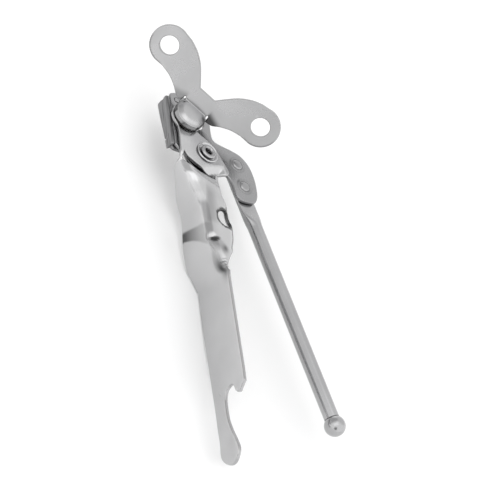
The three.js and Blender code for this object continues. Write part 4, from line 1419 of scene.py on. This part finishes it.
    def build(self, shop: Workshop) -> None:
        """Make the plate, the rivets and the cutter."""
        bores = [circle((0, 0), PIVOT_R + FIT_GAP, 36), self.sweep()]
        bores += [circle(at, self.shank_r + FIT_GAP, 28) for at in self.rod_rivets]
        bores += [circle(at, self.cutter_rivet_r + FIT_GAP, 24) for at in self.cutter_rivets]
        plate = Sheet(self.outline(), self.plate_form, SHEET, bores, 0.5, 0.45, 0.45,
                      painted_shade=self.painted_shade)
        shop.piece("palm_plate", plate.skin(), LEVER_PLATE, Body.LEVER,
                   ("lever_plate",))
        tang_low = TANG_TOP - TANG_THICKNESS
        for end, at in zip(("upper", "lower"), self.rod_rivets):
            skin = self.rivet(self.shank_r, self.head_r, 0.62, LEVER_TOP + 0.02, tang_low - 0.1, at)
            shop.piece(f"palm_rivet_{end}", skin, LEVER_PLATE, Body.LEVER,
                       (f"rod_rivet_{end}",))
        shank, head = self.cutter_rivet_r, self.cutter_head_r
        for end, at in zip(("front", "rear"), self.cutter_rivets):
            low = LEVER_BOTTOM - 2 * PLATE_GAP / 3 - SHEET
            profile = fillet([(0, low - 0.6), (1.0, low - 0.55), (head, low - 0.25), (head, low),
                              (shank, low), (shank, LEVER_TOP), (0, LEVER_TOP)], 0.12,
                             closed=False)
            skin = turned(profile, Vector((*at, 0)), UP, 40)
            shop.piece(f"cutter_pin_{end}", skin, LEVER_PLATE, Body.LEVER,
                       (f"cutter_rivet_{end}",))
        shop.piece("cutter_wall", self.cutter_wall(), CUTTER_STEEL, Body.LEVER,
                   ("cutter_blade",))
        for name, skin in self.cutter_tabs():
            shop.piece(name, skin, CUTTER_STEEL, Body.LEVER)


@dataclass
class RodHandle:
    """The round rod, flattened under the palm, and the ball on its end."""

    radius: float = 3.0
    length: float = 93.5
    start: Pair = (22.3, -22.4)
    turn: float = 16.7
    tang_length: float = 27.0
    tang_width: float = 8.4
    flare: float = 4.6
    ball_r: float = 4.2
    sides: int = 64

    def __post_init__(self) -> None:
        """Set the rod's directions."""
        turn = math.radians(self.turn)
        self.along = Vector((math.sin(turn), -math.cos(turn), 0))
        self.across = Vector((math.cos(turn), math.sin(turn), 0))
        self.origin = Vector((*self.start, TANG_TOP - TANG_THICKNESS / 2))

    def section(self, s: float) -> list[Vector]:
        """One section of the bar, from flattened tang to round rod."""
        roundness = smooth((s + self.flare) / (2 * self.flare))
        nose = math.sqrt(max(0.02, 1 - max(0.0, (-self.tang_length + 3 - s) / 3) ** 2))
        half_tang = self.tang_width / 2 * nose
        half_width = half_tang + (self.radius - half_tang) * roundness
        half_height = TANG_THICKNESS / 2 + (self.radius - TANG_THICKNESS / 2) * roundness
        power = 1 / (1 + 2 * (1 - roundness))
        flute = 0.16 * smooth((s + 2) / 6) * smooth((16 - s) / 12)
        ring = []
        for k in range(self.sides):
            angle = 2 * math.pi * (k + 0.5) / self.sides
            c, z = math.cos(angle), math.sin(angle)
            groove = 1 - flute * max(0.0, math.cos(4 * angle)) ** 6 / self.radius
            side = math.copysign(abs(c) ** power, c) * half_width * groove
            lift = math.copysign(abs(z) ** power, z) * half_height * groove
            ring.append(self.origin + self.along * s + self.across * side + UP * lift)
        return ring

    def rod(self) -> Skin:
        """The whole bar."""
        end = self.length - self.ball_r + 1.05
        places = list(np.linspace(-self.tang_length, -self.tang_length + 3, 9))
        places += list(np.linspace(-self.tang_length + 4, -self.flare - 0.5, 10))
        places += list(np.linspace(-self.flare, self.flare + 13, 40))
        places += list(np.linspace(self.flare + 16, end, 12))
        rings = [self.section(float(s)) for s in places]
        return lofted(rings, 50)

    def ball(self) -> Skin:
        """The ball, pressed over the rod with a soft mouth."""
        first = math.asin((self.radius + FIT_GAP) / self.ball_r)
        seat = -self.ball_r + 1.4
        profile = [(0.0, seat), (self.radius + FIT_GAP, seat)]
        steps = 40
        for k in range(steps + 1):
            angle = first + (math.pi - first) * k / steps
            radius = self.ball_r * math.sin(angle) if k < steps else 0.0
            profile.append((radius, -self.ball_r * math.cos(angle)))
        centre = self.origin + self.along * self.length
        return turned(profile, centre, self.along, 72, 40)

    def build(self, shop: Workshop) -> None:
        """Make the rod and the ball."""
        shop.piece("handle_rod", self.rod(), ROD_PLATE, Body.LEVER, ("rod_handle",))
        shop.piece("handle_ball", self.ball(), ROD_PLATE, Body.LEVER, ("ball_knob",))


# ---------------------------------------------------------------- studio


@dataclass(frozen=True)
class Shade:
    """A soft darker patch of the tent: where it hangs, how wide it is and how dark."""

    toward: tuple[float, float, float]
    spread: float
    depth: float


SHADES = (
    Shade((-0.97, 0.14, 0.12), 0.03, 0.45),
    Shade((-0.30, -0.84, 0.42), 0.05, 0.8),
    Shade((-0.55, 0.58, 0.60), 0.26, 0.5),
    Shade((0.53, 0.58, 0.62), 0.30, 0.24),
)


@dataclass
class Studio:
    """A pale floor, a soft tent of light with darker patches, one lamp and the camera."""

    datum: Datum
    right: Vector = field(default_factory=lambda: Vector((0.804, -0.112, 0.583)))
    above: Vector = field(default_factory=lambda: Vector((-0.273, 0.804, 0.528)))
    distance: float = 750.0
    view_width: float = 200.0
    sensor: float = 36.0
    aim: Pair = (17.2, -38.8)
    floor_half: float = 3.0
    floor_drop: float = 0.0001
    tent: float = 1.40
    lamp_power: float = 1.2
    lamp_size: float = 1.0

    def build(self) -> None:
        """Set up floor, light and camera."""
        self.floor()
        self.light()
        self.camera()
        bpy.context.scene.view_settings.view_transform = "Standard"

    def floor(self) -> None:
        """A wide floor that the tool lies on."""
        low, _ = CAD_BOX
        mesh = bpy.data.meshes.new("floor")
        half, z = self.floor_half, low.z - self.floor_drop
        mesh.from_pydata([(-half, -half, z), (half, -half, z), (half, half, z), (-half, half, z)],
                         [], [(0, 1, 2, 3)])
        mesh.materials.append(FLOOR_PAINT.material())
        floor = bpy.data.objects.new("floor", mesh)
        bpy.context.scene.collection.objects.link(floor)

    def light(self) -> None:
        """An even tent with soft darker patches, and one area lamp overhead."""
        world = bpy.data.worlds.new("tent")
        bpy.context.scene.world = world
        world.use_nodes = True
        tree = world.node_tree
        background = tree.nodes["Background"]
        where = tree.nodes.new("ShaderNodeTexCoord").outputs["Generated"]
        level = None
        for shade in SHADES:
            toward = tree.nodes.new("ShaderNodeVectorMath")
            toward.operation = "DOT_PRODUCT"
            tree.links.new(where, toward.inputs[0])
            toward.inputs[1].default_value = Vector(shade.toward).normalized()
            fade = tree.nodes.new("ShaderNodeMapRange")
            fade.interpolation_type = "SMOOTHSTEP"
            tree.links.new(toward.outputs["Value"], fade.inputs["Value"])
            fade.inputs["From Min"].default_value = 1 - shade.spread
            fade.inputs["From Max"].default_value = 1 - shade.spread / 3
            fade.inputs["To Min"].default_value = 1.0
            fade.inputs["To Max"].default_value = 1 - shade.depth
            if level is None:
                level = fade.outputs["Result"]
                continue
            product = tree.nodes.new("ShaderNodeMath")
            product.operation = "MULTIPLY"
            tree.links.new(level, product.inputs[0])
            tree.links.new(fade.outputs["Result"], product.inputs[1])
            level = product.outputs[0]
        tree.links.new(level, background.inputs["Color"])
        background.inputs["Strength"].default_value = self.tent
        lamp = bpy.data.lights.new("overhead", "AREA")
        lamp.energy, lamp.size = self.lamp_power, self.lamp_size
        stand = bpy.data.objects.new("overhead", lamp)
        stand.location = (-0.5, -0.1, 1.0)
        stand.rotation_euler = (-stand.location).to_track_quat("-Z", "Y").to_euler()
        bpy.context.scene.collection.objects.link(stand)

    def camera(self) -> None:
        """The camera above and to the left of the tool, looking square on to its tilt."""
        right = self.right.normalized()
        above = (self.above - right * self.above.dot(right)).normalized()
        toward = right.cross(above)
        data = bpy.data.cameras.new("camera")
        data.sensor_width = self.sensor
        data.lens = self.sensor * self.distance / self.view_width
        data.clip_start, data.clip_end = 0.01, 10
        camera = bpy.data.objects.new("camera", data)
        aim = right * self.aim[0] + above * self.aim[1]
        place = self.datum.world(aim + toward * self.distance)
        basis = Matrix((right, above, toward)).transposed().to_4x4()
        camera.matrix_world = Matrix.Translation(place) @ basis
        bpy.context.scene.collection.objects.link(camera)
        bpy.context.scene.camera = camera


def main() -> None:
    """Build the studio and every sub-assembly in order."""
    logging.basicConfig(level=logging.INFO, format="%(name)s: %(message)s")
    datum = Datum.from_frame()
    shop = Workshop(datum)
    Studio(datum).build()
    for assembly in (SheetHandle(), PivotJoint(), DriveTrain(), WingKey(), LeverPalm(),
                     RodHandle()):
        assembly.build(shop)
        log.info("built %s", type(assembly).__name__)


if __name__ == "__main__":
    main()
